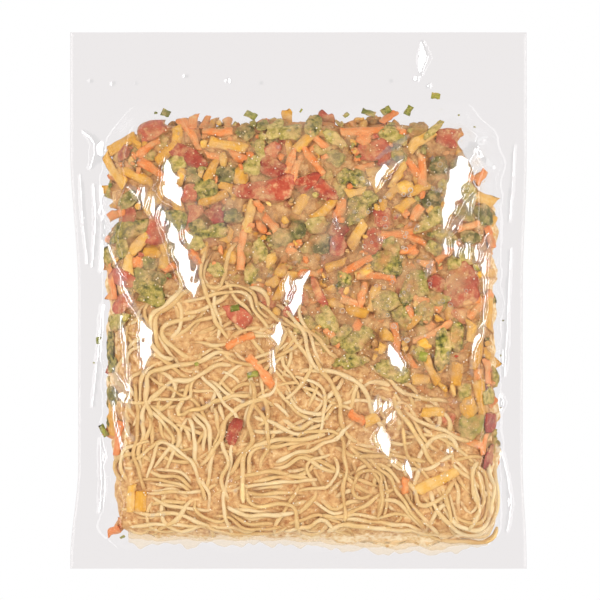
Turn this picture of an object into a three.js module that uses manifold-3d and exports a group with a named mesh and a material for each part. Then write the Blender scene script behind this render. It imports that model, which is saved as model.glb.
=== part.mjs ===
// A clear heat-sealed pouch of cooked noodles and chopped vegetables, lying on its back, front face up.
// Millimetres, +Z up, +Y towards the pouch's head. The origin is at the middle of the footprint, on the
// surface that the pouch lies on. The film clings to the food, so pouch and food are one solid: a pillow
// with a flat sealed margin, and the strands and vegetables that press through the film stand out on it.
import * as THREE from "three";
import { mergeVertices } from "three/addons/utils/BufferGeometryUtils.js";
import Module from "manifold-3d";

// Pouch: the cut size of the film, and how far each long side is drawn in by the filling
const POUCH_WIDTH = 183;
const POUCH_LENGTH = 215;
const WAIST_LEFT = 3.2;
const WAIST_RIGHT = 2;
const WAIST_TOP = [60, 4]; // y where the drawing-in starts and where it is full, from the head
const WAIST_FOOT = [-104, -76]; // the same, from the foot
const FILM_PAIR = 0.5; // two sheets of film sealed together, with their slight cockle

// Filling: a rounded rectangle inside the seals, with a wider margin at the head than elsewhere
const FILL_LEFT = -78;
const FILL_RIGHT = 80.5;
const FILL_HEAD = 76;
const FILL_FOOT = -98;
const FILL_HEAD_RADIUS = 20;
const FILL_FOOT_RADIUS = 9;
const FILL_DEPTH = 13; // height of the filling just inside its rounded edge
const FILL_CROWN = 2.4; // how much higher its middle is
const EDGE_ROUND = 13; // width of the rounded edge, from the margin to full depth
const BACK_ROUND = 10; // width of the rounded edge on the underside
const BACK_SAG = 1; // how far the underside would hang if the table didn't press it flat

// Rest: the four-cornered patch that the pouch lies on, a little proud of the rest of its flat underside
const REST = { left: -65, right: 67.5, head: 63, foot: -86, proud: 0.4, flare: 4 };

// Margin: the seal stands off the table beside the filling and sinks nearly to it at the cut edge
const MARGIN_LIFT = 2.4;
const MARGIN_CLEAR = 0.7; // least height of its underside
const MARGIN_WIDTH = 13;
const COCKLE = { height: 0.7, length: 41, leftAtCut: 0.4 }; // its slow waves, and their share at the cut edge

// Lumps that the vegetables raise in the film, and how gradually they begin beyond the noodles
const LUMP = { height: 0.7, length: 19, sway: 0.6, stretch: 0.9, shift: 0.7, fade: 6 };

// The noodles fill the foot of the pouch, up to this line from its left side to its right side
const NOODLE_EDGE = [
  [-78, -14],
  [-54, 8],
  [-30, 11],
  [2, -13],
  [33, -26],
  [55, -48],
  [81, -70],
];

// The food that shows: how many pieces of a kind, their sizes, and how far they stand proud of the film
const STRAND = {
  count: 16,
  radius: 1,
  sides: 5,
  proud: 0.3,
  shortest: 45,
  longest: 80,
  step: 5,
  tightestLoop: 16, // radius of the tightest curl
  swayLength: 7, // how soon a strand swings from side to side
  leastSway: 0.2,
  mostSway: 0.7,
};
const STICK = { count: 24, width: 3.4, shortest: 12, longest: 24, proud: 1.2, bow: 1.5, taper: 0.15 };
STICK.steps = 3; // lengths that a stick is split into, so that it can bend
const FLORET = { count: 8, radius: 5.5, flatness: 0.45, proud: 1, knobs: 5, knobDepth: 0.16, knobPitch: 0.9 };
const SLAB = {
  count: 5,
  radius: 8,
  flatness: 0.25,
  proud: 0.8,
  narrowness: 0.6,
  stretch: 0.25,
  wobble: 0.1,
  sides: 12,
  rings: 5,
};

const FOOD_INSET = 5; // bare film kept between the edge of the filling and the food that shows
const GRID = { across: 32, along: 36, crowding: 0.4 }; // crowding draws the grid's lines to the margins
const SPREAD_TRIES = 14; // places drawn for each piece, of which the emptiest is used
const BEARING_GRAIN = 1e4; // steps in a radian when a bearing is read, so that a seam's two sides agree
const SEED = 20;
const FULL_TURN = 2 * Math.PI;

const { clamp, lerp, smoothstep } = THREE.MathUtils;
const wasm = await Module();
wasm.setup();

// A repeatable stream of numbers from 0 to 1
function seededDraw(seed) {
  let state = seed;
  return () => {
    state = (state + 0x6d2b79f5) | 0;
    let mixed = Math.imul(state ^ (state >>> 15), 1 | state);
    mixed = (mixed + Math.imul(mixed ^ (mixed >>> 7), 61 | mixed)) ^ mixed;
    return ((mixed ^ (mixed >>> 14)) >>> 0) / 2 ** 32;
  };
}
const draw = seededDraw(SEED);
const drawBetween = (low, high) => lerp(low, high, draw());

// Share of the full waist at a height y along the pouch
function waist(y) {
  const fromHead = 1 - smoothstep(y, WAIST_TOP[1], WAIST_TOP[0]);
  const fromFoot = smoothstep(y, WAIST_FOOT[0], WAIST_FOOT[1]);
  return fromHead * fromFoot;
}
const leftEdge = (y) => -POUCH_WIDTH / 2 + WAIST_LEFT * waist(y);
const rightEdge = (y) => POUCH_WIDTH / 2 - WAIST_RIGHT * waist(y);

// Distance from (x, y) to the edge of the filling, positive inside it
function depthInFill(x, y) {
  const middleX = (FILL_LEFT + FILL_RIGHT) / 2;
  const middleY = (FILL_HEAD + FILL_FOOT) / 2;
  const radius = y > middleY ? FILL_HEAD_RADIUS : FILL_FOOT_RADIUS;
  const outX = Math.abs(x - middleX) - (FILL_RIGHT - FILL_LEFT) / 2 + radius;
  const outY = Math.abs(y - middleY) - (FILL_HEAD - FILL_FOOT) / 2 + radius;
  const corner = Math.hypot(Math.max(outX, 0), Math.max(outY, 0));
  return radius - corner - Math.min(Math.max(outX, outY), 0);
}

// The line between noodles and vegetables, as a height y for each x
function noodleEdge(x) {
  const after = NOODLE_EDGE.findIndex(([edgeX]) => edgeX > x);
  if (after <= 0) return NOODLE_EDGE[after < 0 ? NOODLE_EDGE.length - 1 : 0][1];
  const [x0, y0] = NOODLE_EDGE[after - 1];
  const [x1, y1] = NOODLE_EDGE[after];
  return lerp(y0, y1, (x - x0) / (x1 - x0));
}

// Height of the sealed margin's underside: lifted beside the filling, close to the table at its cut edge
function marginHeight(x, y) {
  const away = clamp(-depthInFill(x, y) / MARGIN_WIDTH, 0, 1);
  const cockle = (1 + Math.sin((FULL_TURN * (x + y)) / COCKLE.length)) / 2;
  const cockleShare = away * lerp(1, COCKLE.leftAtCut, away);
  return lerp(MARGIN_LIFT, MARGIN_CLEAR, 1 - (1 - away) ** 2) + COCKLE.height * cockle * cockleShare;
}

// Underside of the pouch: curling down from the seal round the filling and past the table, which cuts it flat
function backHeight(x, y) {
  const inside = depthInFill(x, y);
  if (inside <= 0) return marginHeight(x, y);
  return lerp(MARGIN_LIFT, -BACK_SAG, smoothstep(inside, 0, BACK_ROUND));
}

// Front of the pouch: the margin's upper face, then a rounded edge, a low crown and the vegetables' lumps
function frontHeight(x, y) {
  const inside = depthInFill(x, y);
  const margin = marginHeight(x, y) + FILM_PAIR;
  if (inside <= 0) return margin;
  const rise = Math.sin((Math.PI / 2) * clamp(inside / EDGE_ROUND, 0, 1));
  const acrossX = (2 * x - FILL_LEFT - FILL_RIGHT) / (FILL_RIGHT - FILL_LEFT);
  const acrossY = (2 * y - FILL_HEAD - FILL_FOOT) / (FILL_HEAD - FILL_FOOT);
  const crown = FILL_CROWN * (1 - acrossX ** 2) * (1 - acrossY ** 2);
  const wave = FULL_TURN / LUMP.length;
  const ridges = Math.sin(wave * x + Math.sin(wave * LUMP.sway * y));
  const lumps = LUMP.height * ridges * Math.sin(wave * LUMP.stretch * y + LUMP.shift);
  const amongVegetables = smoothstep(y - noodleEdge(x), -LUMP.fade, LUMP.fade);
  return margin + rise * (FILL_DEPTH - margin + crown + lumps * amongVegetables);
}

// A geometry whose faces share their corners, so that it stays closed when its points are moved
function welded(geometry) {
  geometry.deleteAttribute("normal");
  geometry.deleteAttribute("uv");
  return mergeVertices(geometry);
}

// A closed, welded geometry as a solid
function solidOf(geometry) {
  const vertProperties = new Float32Array(geometry.attributes.position.array);
  const triVerts = new Uint32Array(geometry.index.array);
  return new wasm.Manifold(new wasm.Mesh({ numProp: 3, vertProperties, triVerts }));
}

// A solid as a geometry
function geometryOf(solid) {
  const mesh = solid.getMesh();
  const geometry = new THREE.BufferGeometry();
  geometry.setAttribute("position", new THREE.BufferAttribute(mesh.vertProperties, mesh.numProp));
  geometry.setIndex(new THREE.BufferAttribute(mesh.triVerts, 1));
  geometry.computeVertexNormals();
  return geometry;
}

// The pillow and its margin: a thin slab whose two large faces are shaped by the heights above
function pouchBody() {
  const sheets = welded(new THREE.BoxGeometry(2, 2, 2, GRID.across, GRID.along, 1));
  const points = sheets.attributes.position;
  const crowd = (t) => lerp(t, Math.sin((Math.PI / 2) * t), GRID.crowding);
  for (let i = 0; i < points.count; i++) {
    const y = (crowd(points.getY(i)) * POUCH_LENGTH) / 2;
    const x = lerp(leftEdge(y), rightEdge(y), (crowd(points.getX(i)) + 1) / 2);
    points.setXYZ(i, x, y, points.getZ(i) > 0 ? frontHeight(x, y) : backHeight(x, y));
  }
  const table = welded(new THREE.BoxGeometry(2 * POUCH_WIDTH, 2 * POUCH_LENGTH, 2 * BACK_SAG));
  table.translate(0, 0, REST.proud - BACK_SAG);
  return solidOf(sheets).subtract(solidOf(table)).add(solidOf(restPatch()));
}

// The patch that the pouch lies on, flaring upwards into the filling
function restPatch() {
  const patch = welded(new THREE.BoxGeometry(REST.right - REST.left, REST.head - REST.foot, 2 * REST.proud));
  const points = patch.attributes.position;
  for (let i = 0; i < points.count; i++) {
    const flare = points.getZ(i) > 0 ? REST.flare : 0;
    points.setX(i, points.getX(i) + Math.sign(points.getX(i)) * flare);
    points.setY(i, points.getY(i) + Math.sign(points.getY(i)) * flare);
  }
  return patch.translate((REST.left + REST.right) / 2, (REST.head + REST.foot) / 2, REST.proud);
}

// The emptiest of several drawn candidates: the one whose middle lies furthest from the places taken so far
function emptiest(drawCandidate, taken) {
  let best = null;
  let bestRoom = -1;
  for (let found = 0; found < SPREAD_TRIES; ) {
    const candidate = drawCandidate();
    if (!candidate) continue;
    found += 1;
    const room = Math.min(POUCH_LENGTH, ...taken.map((place) => place.distanceTo(candidate.middle)));
    if (room > bestRoom) [best, bestRoom] = [candidate, room];
  }
  taken.push(best.middle);
  return best;
}

// A point at a distance and a bearing from the origin
function polar(distance, bearing) {
  return new THREE.Vector2(distance * Math.cos(bearing), distance * Math.sin(bearing));
}

// The route of one noodle wandering over the front, or null where it would leave the noodles
function strandRoute() {
  const place = new THREE.Vector2(drawBetween(FILL_LEFT, FILL_RIGHT), drawBetween(FILL_FOOT, FILL_HEAD));
  const length = drawBetween(STRAND.shortest, STRAND.longest);
  const bend = drawBetween(-1, 1) / STRAND.tightestLoop;
  const sway = drawBetween(STRAND.leastSway, STRAND.mostSway) / STRAND.swayLength;
  const phase = drawBetween(0, FULL_TURN);
  let heading = drawBetween(0, FULL_TURN);
  const route = [];
  for (let run = 0; run <= length; run += STRAND.step) {
    if (depthInFill(place.x, place.y) < FOOD_INSET || place.y > noodleEdge(place.x)) return null;
    route.push(new THREE.Vector3(place.x, place.y, frontHeight(place.x, place.y) + STRAND.proud));
    heading += STRAND.step * (bend + sway * Math.cos(run / STRAND.swayLength + phase));
    place.add(polar(STRAND.step, heading));
  }
  const { x, y } = route[Math.floor(route.length / 2)];
  return { route, middle: new THREE.Vector2(x, y) };
}

// One noodle: a round strand along its route
function strand(route) {
  const corners = Array.from({ length: STRAND.sides }, (_, side) =>
    polar(STRAND.radius, (FULL_TURN * side) / STRAND.sides),
  );
  const extrudePath = new THREE.CatmullRomCurve3(route);
  const steps = route.length - 1;
  return welded(new THREE.ExtrudeGeometry(new THREE.Shape(corners), { steps, extrudePath }));
}

// A cut stick along X, bowed, with one end a little thinner
function stick() {
  const length = drawBetween(STICK.shortest, STICK.longest);
  const bar = welded(new THREE.BoxGeometry(length, STICK.width, STICK.width, STICK.steps, 1, 1));
  const points = bar.attributes.position;
  const bow = drawBetween(-STICK.bow, STICK.bow);
  for (let i = 0; i < points.count; i++) {
    const along = (2 * points.getX(i)) / length;
    points.setY(i, points.getY(i) * (1 - STICK.taper * along) + bow * (1 - along ** 2));
  }
  return bar;
}

// A floret's crown: a flattened ball with knobs
function floret() {
  const ball = welded(new THREE.IcosahedronGeometry(FLORET.radius, 1));
  const points = ball.attributes.position;
  const place = new THREE.Vector3();
  const turn = drawBetween(0, FULL_TURN);
  for (let i = 0; i < points.count; i++) {
    place.fromBufferAttribute(points, i);
    const round = Math.cos(FLORET.knobs * Math.atan2(place.y, place.x) + turn);
    place.multiplyScalar(1 + FLORET.knobDepth * round * Math.sin(FLORET.knobPitch * place.z));
    points.setXYZ(i, place.x, place.y, place.z * FLORET.flatness);
  }
  return ball;
}

// A soft flat piece with a wandering outline
function slab() {
  const disc = welded(new THREE.SphereGeometry(SLAB.radius, SLAB.sides, SLAB.rings));
  const points = disc.attributes.position;
  const turn = drawBetween(0, FULL_TURN);
  disc.rotateX(Math.PI / 2);
  for (let i = 0; i < points.count; i++) {
    const bearing = Math.round(Math.atan2(points.getY(i), points.getX(i)) * BEARING_GRAIN) / BEARING_GRAIN;
    const reach = 1 + SLAB.stretch * Math.sin(2 * bearing + turn) + SLAB.wobble * Math.sin(3 * bearing);
    const y = points.getY(i) * reach * SLAB.narrowness;
    points.setXYZ(i, points.getX(i) * reach, y, points.getZ(i) * SLAB.flatness);
  }
  return disc;
}

// A place for a vegetable over the head of the pouch, or null where it would lie on the noodles or the edge
function vegetablePlace() {
  const middle = new THREE.Vector2(drawBetween(FILL_LEFT, FILL_RIGHT), drawBetween(FILL_FOOT, FILL_HEAD));
  const outside = depthInFill(middle.x, middle.y) < EDGE_ROUND;
  return outside || middle.y < noodleEdge(middle.x) + FOOD_INSET ? null : { middle };
}

// Lays a vegetable on the film at a place, turned at random and bent to the film's own curve
function layOnFilm(piece, { x, y }, proud) {
  piece.rotateZ(drawBetween(0, FULL_TURN));
  piece.translate(x, y, 0);
  piece.computeBoundingBox();
  const sunk = proud - piece.boundingBox.max.z;
  const points = piece.attributes.position;
  for (let i = 0; i < points.count; i++) {
    points.setZ(i, points.getZ(i) + sunk + frontHeight(points.getX(i), points.getY(i)));
  }
  return piece;
}

// Pieces of food that press through the film, each kind spread evenly over its part of the pouch
function pressedFood() {
  const noodlePlaces = [];
  const vegetablePlaces = [];
  const strands = Array.from({ length: STRAND.count }, () =>
    strand(emptiest(strandRoute, noodlePlaces).route),
  );
  const kinds = [
    [slab, SLAB],
    [floret, FLORET],
    [stick, STICK],
  ];
  const vegetables = kinds.flatMap(([makePiece, kind]) =>
    Array.from({ length: kind.count }, () =>
      layOnFilm(makePiece(), emptiest(vegetablePlace, vegetablePlaces).middle, kind.proud),
    ),
  );
  return [...strands, ...vegetables];
}

// The pouch with its food fused on. Hollows that strands seal off are filled: only the outer body is kept.
function fusedPouch() {
  const fused = pressedFood().reduce((sum, piece) => sum.add(solidOf(piece)), pouchBody());
  const bodies = fused.decompose();
  return bodies.reduce((best, body) => (body.volume() > best.volume() ? body : best));
}

const filmOverFood = new THREE.MeshStandardMaterial({ color: 0xd9a866, roughness: 0.25, metalness: 0 });
const pouch = new THREE.Mesh(geometryOf(fusedPouch()), filmOverFood);
pouch.name = "pouch";

const noodlePouch = new THREE.Group();
noodlePouch.add(pouch);
export default noodlePouch;
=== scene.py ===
# A clear sealed pouch of noodles, chopped vegetables and sauce, lying on its back with the camera above it.
# Shapes are worked out in millimetres in the CAD frame, and go into the meshes in metres.
import math

import bmesh
import bpy
import numpy as np
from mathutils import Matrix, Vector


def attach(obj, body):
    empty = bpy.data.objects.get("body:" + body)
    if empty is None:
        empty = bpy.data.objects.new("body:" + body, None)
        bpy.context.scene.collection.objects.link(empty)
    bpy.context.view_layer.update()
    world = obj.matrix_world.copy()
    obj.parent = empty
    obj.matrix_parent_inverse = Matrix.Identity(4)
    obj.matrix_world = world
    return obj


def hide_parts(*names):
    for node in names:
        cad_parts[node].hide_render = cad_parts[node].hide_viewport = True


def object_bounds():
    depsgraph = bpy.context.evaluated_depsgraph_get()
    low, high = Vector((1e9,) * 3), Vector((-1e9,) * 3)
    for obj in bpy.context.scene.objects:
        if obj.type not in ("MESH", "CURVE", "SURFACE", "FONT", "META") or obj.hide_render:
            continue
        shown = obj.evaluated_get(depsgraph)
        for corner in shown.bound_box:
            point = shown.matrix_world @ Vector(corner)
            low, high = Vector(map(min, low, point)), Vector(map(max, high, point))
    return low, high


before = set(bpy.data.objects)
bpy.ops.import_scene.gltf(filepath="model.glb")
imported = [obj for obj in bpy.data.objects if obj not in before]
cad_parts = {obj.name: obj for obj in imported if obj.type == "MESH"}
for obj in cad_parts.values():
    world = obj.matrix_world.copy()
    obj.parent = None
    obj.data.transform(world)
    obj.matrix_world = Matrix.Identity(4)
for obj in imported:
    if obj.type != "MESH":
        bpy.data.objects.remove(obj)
cadLow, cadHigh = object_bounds()
print("frame loaded")

mm = 0.001
fullTurn = 2 * math.pi
draw = np.random.default_rng(12)


def newSeed():
    return int(draw.integers(1 << 30))


# Form of the pouch, as in the CAD solid

pouch = {
    "width": (cadHigh.x - cadLow.x) / mm,
    "length": (cadHigh.y - cadLow.y) / mm,
    "waistLeft": 3.2,       # how far each long side is drawn in
    "waistRight": 1.6,
    "waistHead": (60, 4),   # y where that starts and where it is full
    "waistFoot": (-104, -66),
    "fillX": (-78, 80.5),   # the filling inside the seals
    "fillY": (-98, 76),
    "headRadius": 20,
    "footRadius": 9,
    "depth": 13,            # height of the filling just inside its rounded edge
    "crown": 2.4,
    "shoulderAt": 9,        # width of the filling's slanted edge
    "shoulderRound": 0.12,  # share of it over which the film bends flat
    "backRound": 10,
    "backSag": 1,
    "marginLift": 1.2,      # the seal stands off the table beside the filling, flatter than in the solid
    "marginWidth": 13,
    "cockle": 0.7,
    "cockleLength": 41,
    "sealed": 0.5,
    # where the noodles end and the vegetables begin, and over what distance they mix
    "noodleEdge": ((-78, -14), (-54, 8), (-30, 11), (2, -13), (33, -26), (55, -48), (81, -70)),
    "edgeBlend": 6,
    "leftStrip": (-70, -72),    # vegetables also lie left of this x and above this y
}


def smoothStep(value, low, high):
    t = np.clip((value - low) / (high - low), 0, 1)
    return t * t * (3 - 2 * t)


def blendBetween(low, high, share):
    return low + (high - low) * share


def waist(y):
    fromHead = 1 - smoothStep(y, pouch["waistHead"][1], pouch["waistHead"][0])
    return fromHead * smoothStep(y, *pouch["waistFoot"])


def depthInFill(x, y):
    left, right = pouch["fillX"]
    foot, head = pouch["fillY"]
    radius = np.where(y > (head + foot) / 2, pouch["headRadius"], pouch["footRadius"])
    outX = np.abs(x - (left + right) / 2) - (right - left) / 2 + radius
    outY = np.abs(y - (head + foot) / 2) - (head - foot) / 2 + radius
    corner = np.hypot(np.maximum(outX, 0), np.maximum(outY, 0))
    return radius - corner - np.minimum(np.maximum(outX, outY), 0)


def noodleEdge(x):
    return np.interp(x, *zip(*pouch["noodleEdge"]))


def amongVegetables(x, y):
    return smoothStep(y - noodleEdge(x), -pouch["edgeBlend"], pouch["edgeBlend"])


def marginHeight(x, y):
    away = np.clip(-depthInFill(x, y) / pouch["marginWidth"], 0, 1)
    cockle = (1 + np.sin(fullTurn * (x + y) / pouch["cockleLength"])) / 2
    return pouch["marginLift"] * (1 - away) ** 2 + pouch["cockle"] * cockle * away * (1 - 0.6 * away)


def backHeight(x, y):
    inside = smoothStep(depthInFill(x, y), 0, pouch["backRound"])
    return np.maximum(blendBetween(marginHeight(x, y), -pouch["backSag"], inside), 0)


def pillowHeight(x, y, outward=0):
    margin = marginHeight(x, y) + pouch["sealed"]
    steep = (depthInFill(x, y) + outward) / pouch["shoulderAt"]
    over = np.clip((steep - 1 + pouch["shoulderRound"]) / (2 * pouch["shoulderRound"]), 0, 1)
    rise = np.clip(steep, 0, 1 - pouch["shoulderRound"]) + pouch["shoulderRound"] * (2 * over - over ** 2)
    rise = np.clip(rise, 0, 1)
    left, right = pouch["fillX"]
    foot, head = pouch["fillY"]
    acrossX = (2 * x - left - right) / (right - left)
    acrossY = (2 * y - head - foot) / (head - foot)
    crown = pouch["crown"] * (1 - acrossX ** 2) * (1 - acrossY ** 2)
    return margin + rise * (pouch["depth"] - margin + crown)


# Slow random waves over the plane or through space, of about unit height

def ripple(points, length, seed, count=7):
    pick = np.random.default_rng(seed)
    total = 0
    for _ in range(count):
        heading = pick.normal(size=len(points))
        heading /= np.linalg.norm(heading)
        wave = fullTurn / (length * pick.uniform(0.7, 1.4))
        along = sum(part * share for part, share in zip(points, heading))
        total = total + np.sin(wave * along + pick.uniform(0, fullTurn))
    return total / math.sqrt(count / 2)


# Mesh helpers

def newPiece(name, verts, faces, material, crisp=0, **values):
    # crisp is how many of the last faces are shaded flat, as those round a sheet's rim are
    mesh = bpy.data.meshes.new(name)
    mesh.from_pydata((np.asarray(verts) * mm).tolist(), [], faces)
    mesh.polygons.foreach_set("use_smooth", np.arange(len(faces)) < len(faces) - crisp)
    for key, data in values.items():
        data = np.asarray(data, np.float32)
        kind = "FLOAT_VECTOR" if data.ndim == 2 else "FLOAT"
        field = "vector" if data.ndim == 2 else "value"
        mesh.attributes.new(key, kind, "POINT").data.foreach_set(field, data.ravel())
    mesh.materials.append(material)
    mesh.update()
    piece = bpy.data.objects.new(name, mesh)
    bpy.context.scene.collection.objects.link(piece)
    return piece


class Heap:
    # many shapes of one kind, joined into one mesh
    def __init__(self):
        self.verts, self.faces, self.tone, self.grain, self.haze = [], [], [], [], []
        self.count = 0

    def add(self, verts, faces, tone, grain, tops=None):
        # tops are the places whose depth gives the haze, where they aren't the shape's own
        self.faces += [[corner + self.count for corner in face] for face in faces]
        self.verts.append(verts)
        self.haze.append(hazeAt(verts if tops is None else tops))
        self.tone.append(np.broadcast_to(tone, len(verts)))
        self.grain.append(grain)
        self.count += len(verts)

    def piece(self, name, material, slot):
        made = newPiece(name, np.vstack(self.verts), self.faces, material, tone=np.concatenate(self.tone),
                        haze=np.concatenate(self.haze), grain=np.vstack(self.grain))
        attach(made, "root")
        return made


def ringFaces(rings, sides, outward):
    faces = []
    for i in range(rings - 1):
        for j in range(sides):
            k = (j + 1) % sides
            quad = [i * sides + j, i * sides + k, (i + 1) * sides + k, (i + 1) * sides + j]
            faces.append(quad if outward else quad[::-1])
    first = list(range(sides))
    last = list(range((rings - 1) * sides, rings * sides))
    return faces + ([first[::-1], last] if outward else [first, last[::-1]])


def icoBall(level):
    ball = bmesh.new()
    bmesh.ops.create_icosphere(ball, subdivisions=level, radius=1)
    verts = np.array([v.co for v in ball.verts])
    faces = [[v.index for v in f.verts] for f in ball.faces]
    ball.free()
    return verts, faces


# How much sauce lies over a point: more with depth under either sheet, and more in some places

haze = {
    "starts": 0.45,                       # depth in millimetres
    "full": (3.3, 3.2),                   # depth among the noodles and among the vegetables
    "most": 0.92,
    "mostSpread": 0.8,
    "everywhere": (0.05, 0.1),            # over the noodles and over the vegetables
    "right": ((41, -6), (32, 38), 0.26),  # middle, reach, strength of the cloudier places
    "middle": ((2, 28), (17, 16), 0.14),
    "patches": (12, 0.12, 0.24),          # length, strength over the noodles and over the vegetables
}


def cloud(x, y, place):
    (midX, midY), (reachX, reachY), strength = place
    return strength * np.exp(-((x - midX) / reachX) ** 2 - ((y - midY) / reachY) ** 2)


def hazeAt(verts):
    x, y, z = verts.T
    depth = np.minimum(pillowHeight(x, y) - z, z - backHeight(x, y))
    upper = amongVegetables(x, y)
    length, *strengths = haze["patches"]
    spread = blendBetween(*haze["everywhere"], upper)
    spread = spread + cloud(x, y, haze["right"]) + cloud(x, y, haze["middle"])
    spread = spread + blendBetween(*strengths, upper) * ripple((x, y), length, 31, 9)
    sunk = smoothStep(depth, haze["starts"], blendBetween(*haze["full"], upper))
    return np.minimum(1 - (1 - sunk) * (1 - np.clip(spread, 0, haze["mostSpread"])), haze["most"])


# Shader helpers and the effects that several finishes share

def setInputs(node, **values):
    for name, value in values.items():
        node.inputs[name.replace("_", " ")].default_value = value
    return node


def newMaterial(name):
    material = bpy.data.materials.new(name)
    material.use_nodes = True
    material.node_tree.nodes.clear()
    return material, material.node_tree


def newGroup(name, inputs, outputs):
    group = bpy.data.node_groups.new(name, "ShaderNodeTree")
    for socket, (kind, value) in inputs.items():
        made = group.interface.new_socket(socket, in_out="INPUT", socket_type="NodeSocket" + kind)
        made.default_value = value
    for socket, kind in outputs.items():
        group.interface.new_socket(socket, in_out="OUTPUT", socket_type="NodeSocket" + kind)
    return group, group.nodes.new("NodeGroupInput"), group.nodes.new("NodeGroupOutput")


def placeGroup(tree, group, **values):
    node = tree.nodes.new("ShaderNodeGroup")
    node.node_tree = group
    return setInputs(node, **values)


def attribute(tree, name, output):
    node = tree.nodes.new("ShaderNodeAttribute")
    node.attribute_name = name
    return node.outputs[output]


def feed(tree, socket, value):
    # links a socket to an output, or sets it to a plain value
    if hasattr(value, "is_linked"):
        tree.links.new(value, socket)
    else:
        socket.default_value = value


def mathNode(tree, operation, *values):
    node = tree.nodes.new("ShaderNodeMath")
    node.operation = operation
    for socket, value in zip(node.inputs, values):
        feed(tree, socket, value)
    return node.outputs[0]


def mixColours(tree, share, first, second):
    node = tree.nodes.new("ShaderNodeMix")
    node.data_type = "RGBA"
    for number, value in zip((0, 6, 7), (share, first, second)):   # its colour sockets
        feed(tree, node.inputs[number], value)
    return node.outputs[2]


def mixShaders(tree, share, first, second):
    node = tree.nodes.new("ShaderNodeMixShader")
    for socket, value in zip(node.inputs, (share, first, second)):
        feed(tree, socket, value)
    return node.outputs["Shader"]


def showSurface(tree, shader, kind="Material"):
    out = tree.nodes.new("ShaderNodeOutput" + kind)
    tree.links.new(shader, out.inputs["Surface"])


def noiseNode(tree, vector, **values):
    node = setInputs(tree.nodes.new("ShaderNodeTexNoise"), **values)
    tree.links.new(vector, node.inputs["Vector"])
    return node


def colourRamp(tree, value, stops):
    # each stop is a position and a colour
    node = tree.nodes.new("ShaderNodeValToRGB")
    elements = node.color_ramp.elements
    while len(elements) < len(stops):
        elements.new(0.5)
    for element, (position, *colour) in zip(elements, stops):
        element.position = position
        element.color = (*colour, 1)
    tree.links.new(value, node.inputs["Fac"])
    return node.outputs["Color"]


def mottleGroup():
    # uneven patches in the flesh, from the place in the part
    sockets = {"Scale": ("Float", 200.0), "Detail": ("Float", 3.0)}
    group, given, out = newGroup("mottle", sockets, {"Patches": "Float"})
    place = group.nodes.new("ShaderNodeTexCoord")
    noise = noiseNode(group, place.outputs["Object"], Roughness=0.6)
    for socket in sockets:
        group.links.new(given.outputs[socket], noise.inputs[socket])
    group.links.new(noise.outputs["Fac"], out.inputs["Patches"])
    return group


def fibreGroup():
    # streaks along a cut piece, from its own coordinates
    group, given, out = newGroup("fibre", {"Fineness": ("Float", 1.0)}, {"Streaks": "Float"})
    stretch = setInputs(group.nodes.new("ShaderNodeMapping"), Scale=(0.12, 1.5, 1.5))
    group.links.new(attribute(group, "grain", "Vector"), stretch.inputs["Vector"])
    noise = noiseNode(group, stretch.outputs["Vector"], Detail=2.0)
    group.links.new(given.outputs["Fineness"], noise.inputs["Scale"])
    group.links.new(noise.outputs["Fac"], out.inputs["Streaks"])
    return group


coat = {
    "patches": {"Scale": 130.0, "Detail": 5.0, "Roughness": 0.65},
    "stops": (0.35, 0.68),       # of the patches, from the dark colour to the thin one
    "deepen": (-0.4, 0.2),       # how the colour changes with depth, and where that begins
    "smears": {"Scale": 360.0, "Detail": 5.0, "Roughness": 0.7},
    "smearMiddle": 0.52,         # where a smear neither adds nor takes away
    "smearStrength": 2.8,
    "most": 0.95,
    "speckScale": 820.0,
    "speckSize": 0.14,
    "speckShown": 0.4,
}


def sauceCoatGroup():
    # lays the sauce's colour over a finish, by how deep the point is sunk
    group, given, out = newGroup("sauceCoat", {"Colour": ("Color", (1, 1, 1, 1))}, {"Colour": "Color"})
    place = group.nodes.new("ShaderNodeTexCoord").outputs["Object"]
    sunk = attribute(group, "haze", "Fac")
    patches = noiseNode(group, place, **coat["patches"]).outputs["Fac"]
    patches = mathNode(group, "ADD", patches, mathNode(group, "MULTIPLY_ADD", sunk, *coat["deepen"]))
    dark, pale = coat["stops"]
    tint = colourRamp(group, patches, ((dark, *sauce["dark"]), (pale, *sauce["coat"])))
    smears = noiseNode(group, place, **coat["smears"]).outputs["Fac"]
    smears = mathNode(group, "SUBTRACT", smears, coat["smearMiddle"])
    cover = mathNode(group, "ADD", sunk, mathNode(group, "MULTIPLY", smears, coat["smearStrength"]))
    cover = mathNode(group, "MINIMUM", mathNode(group, "MAXIMUM", cover, 0.0), coat["most"])
    smeared = mixColours(group, cover, given.outputs["Colour"], tint)
    specks = setInputs(group.nodes.new("ShaderNodeTexVoronoi"), Scale=coat["speckScale"], Randomness=1.0)
    group.links.new(place, specks.inputs["Vector"])
    dots = mathNode(group, "LESS_THAN", specks.outputs["Distance"], coat["speckSize"])
    dots = mathNode(group, "MULTIPLY", dots, coat["speckShown"])
    group.links.new(mixColours(group, dots, smeared, (*sauce["fat"], 1)), out.inputs["Colour"])
    return group


flesh = {"ior": 1.36, "detail": 4.0, "bumpDepth": 0.0004}   # the depth is in metres


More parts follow.
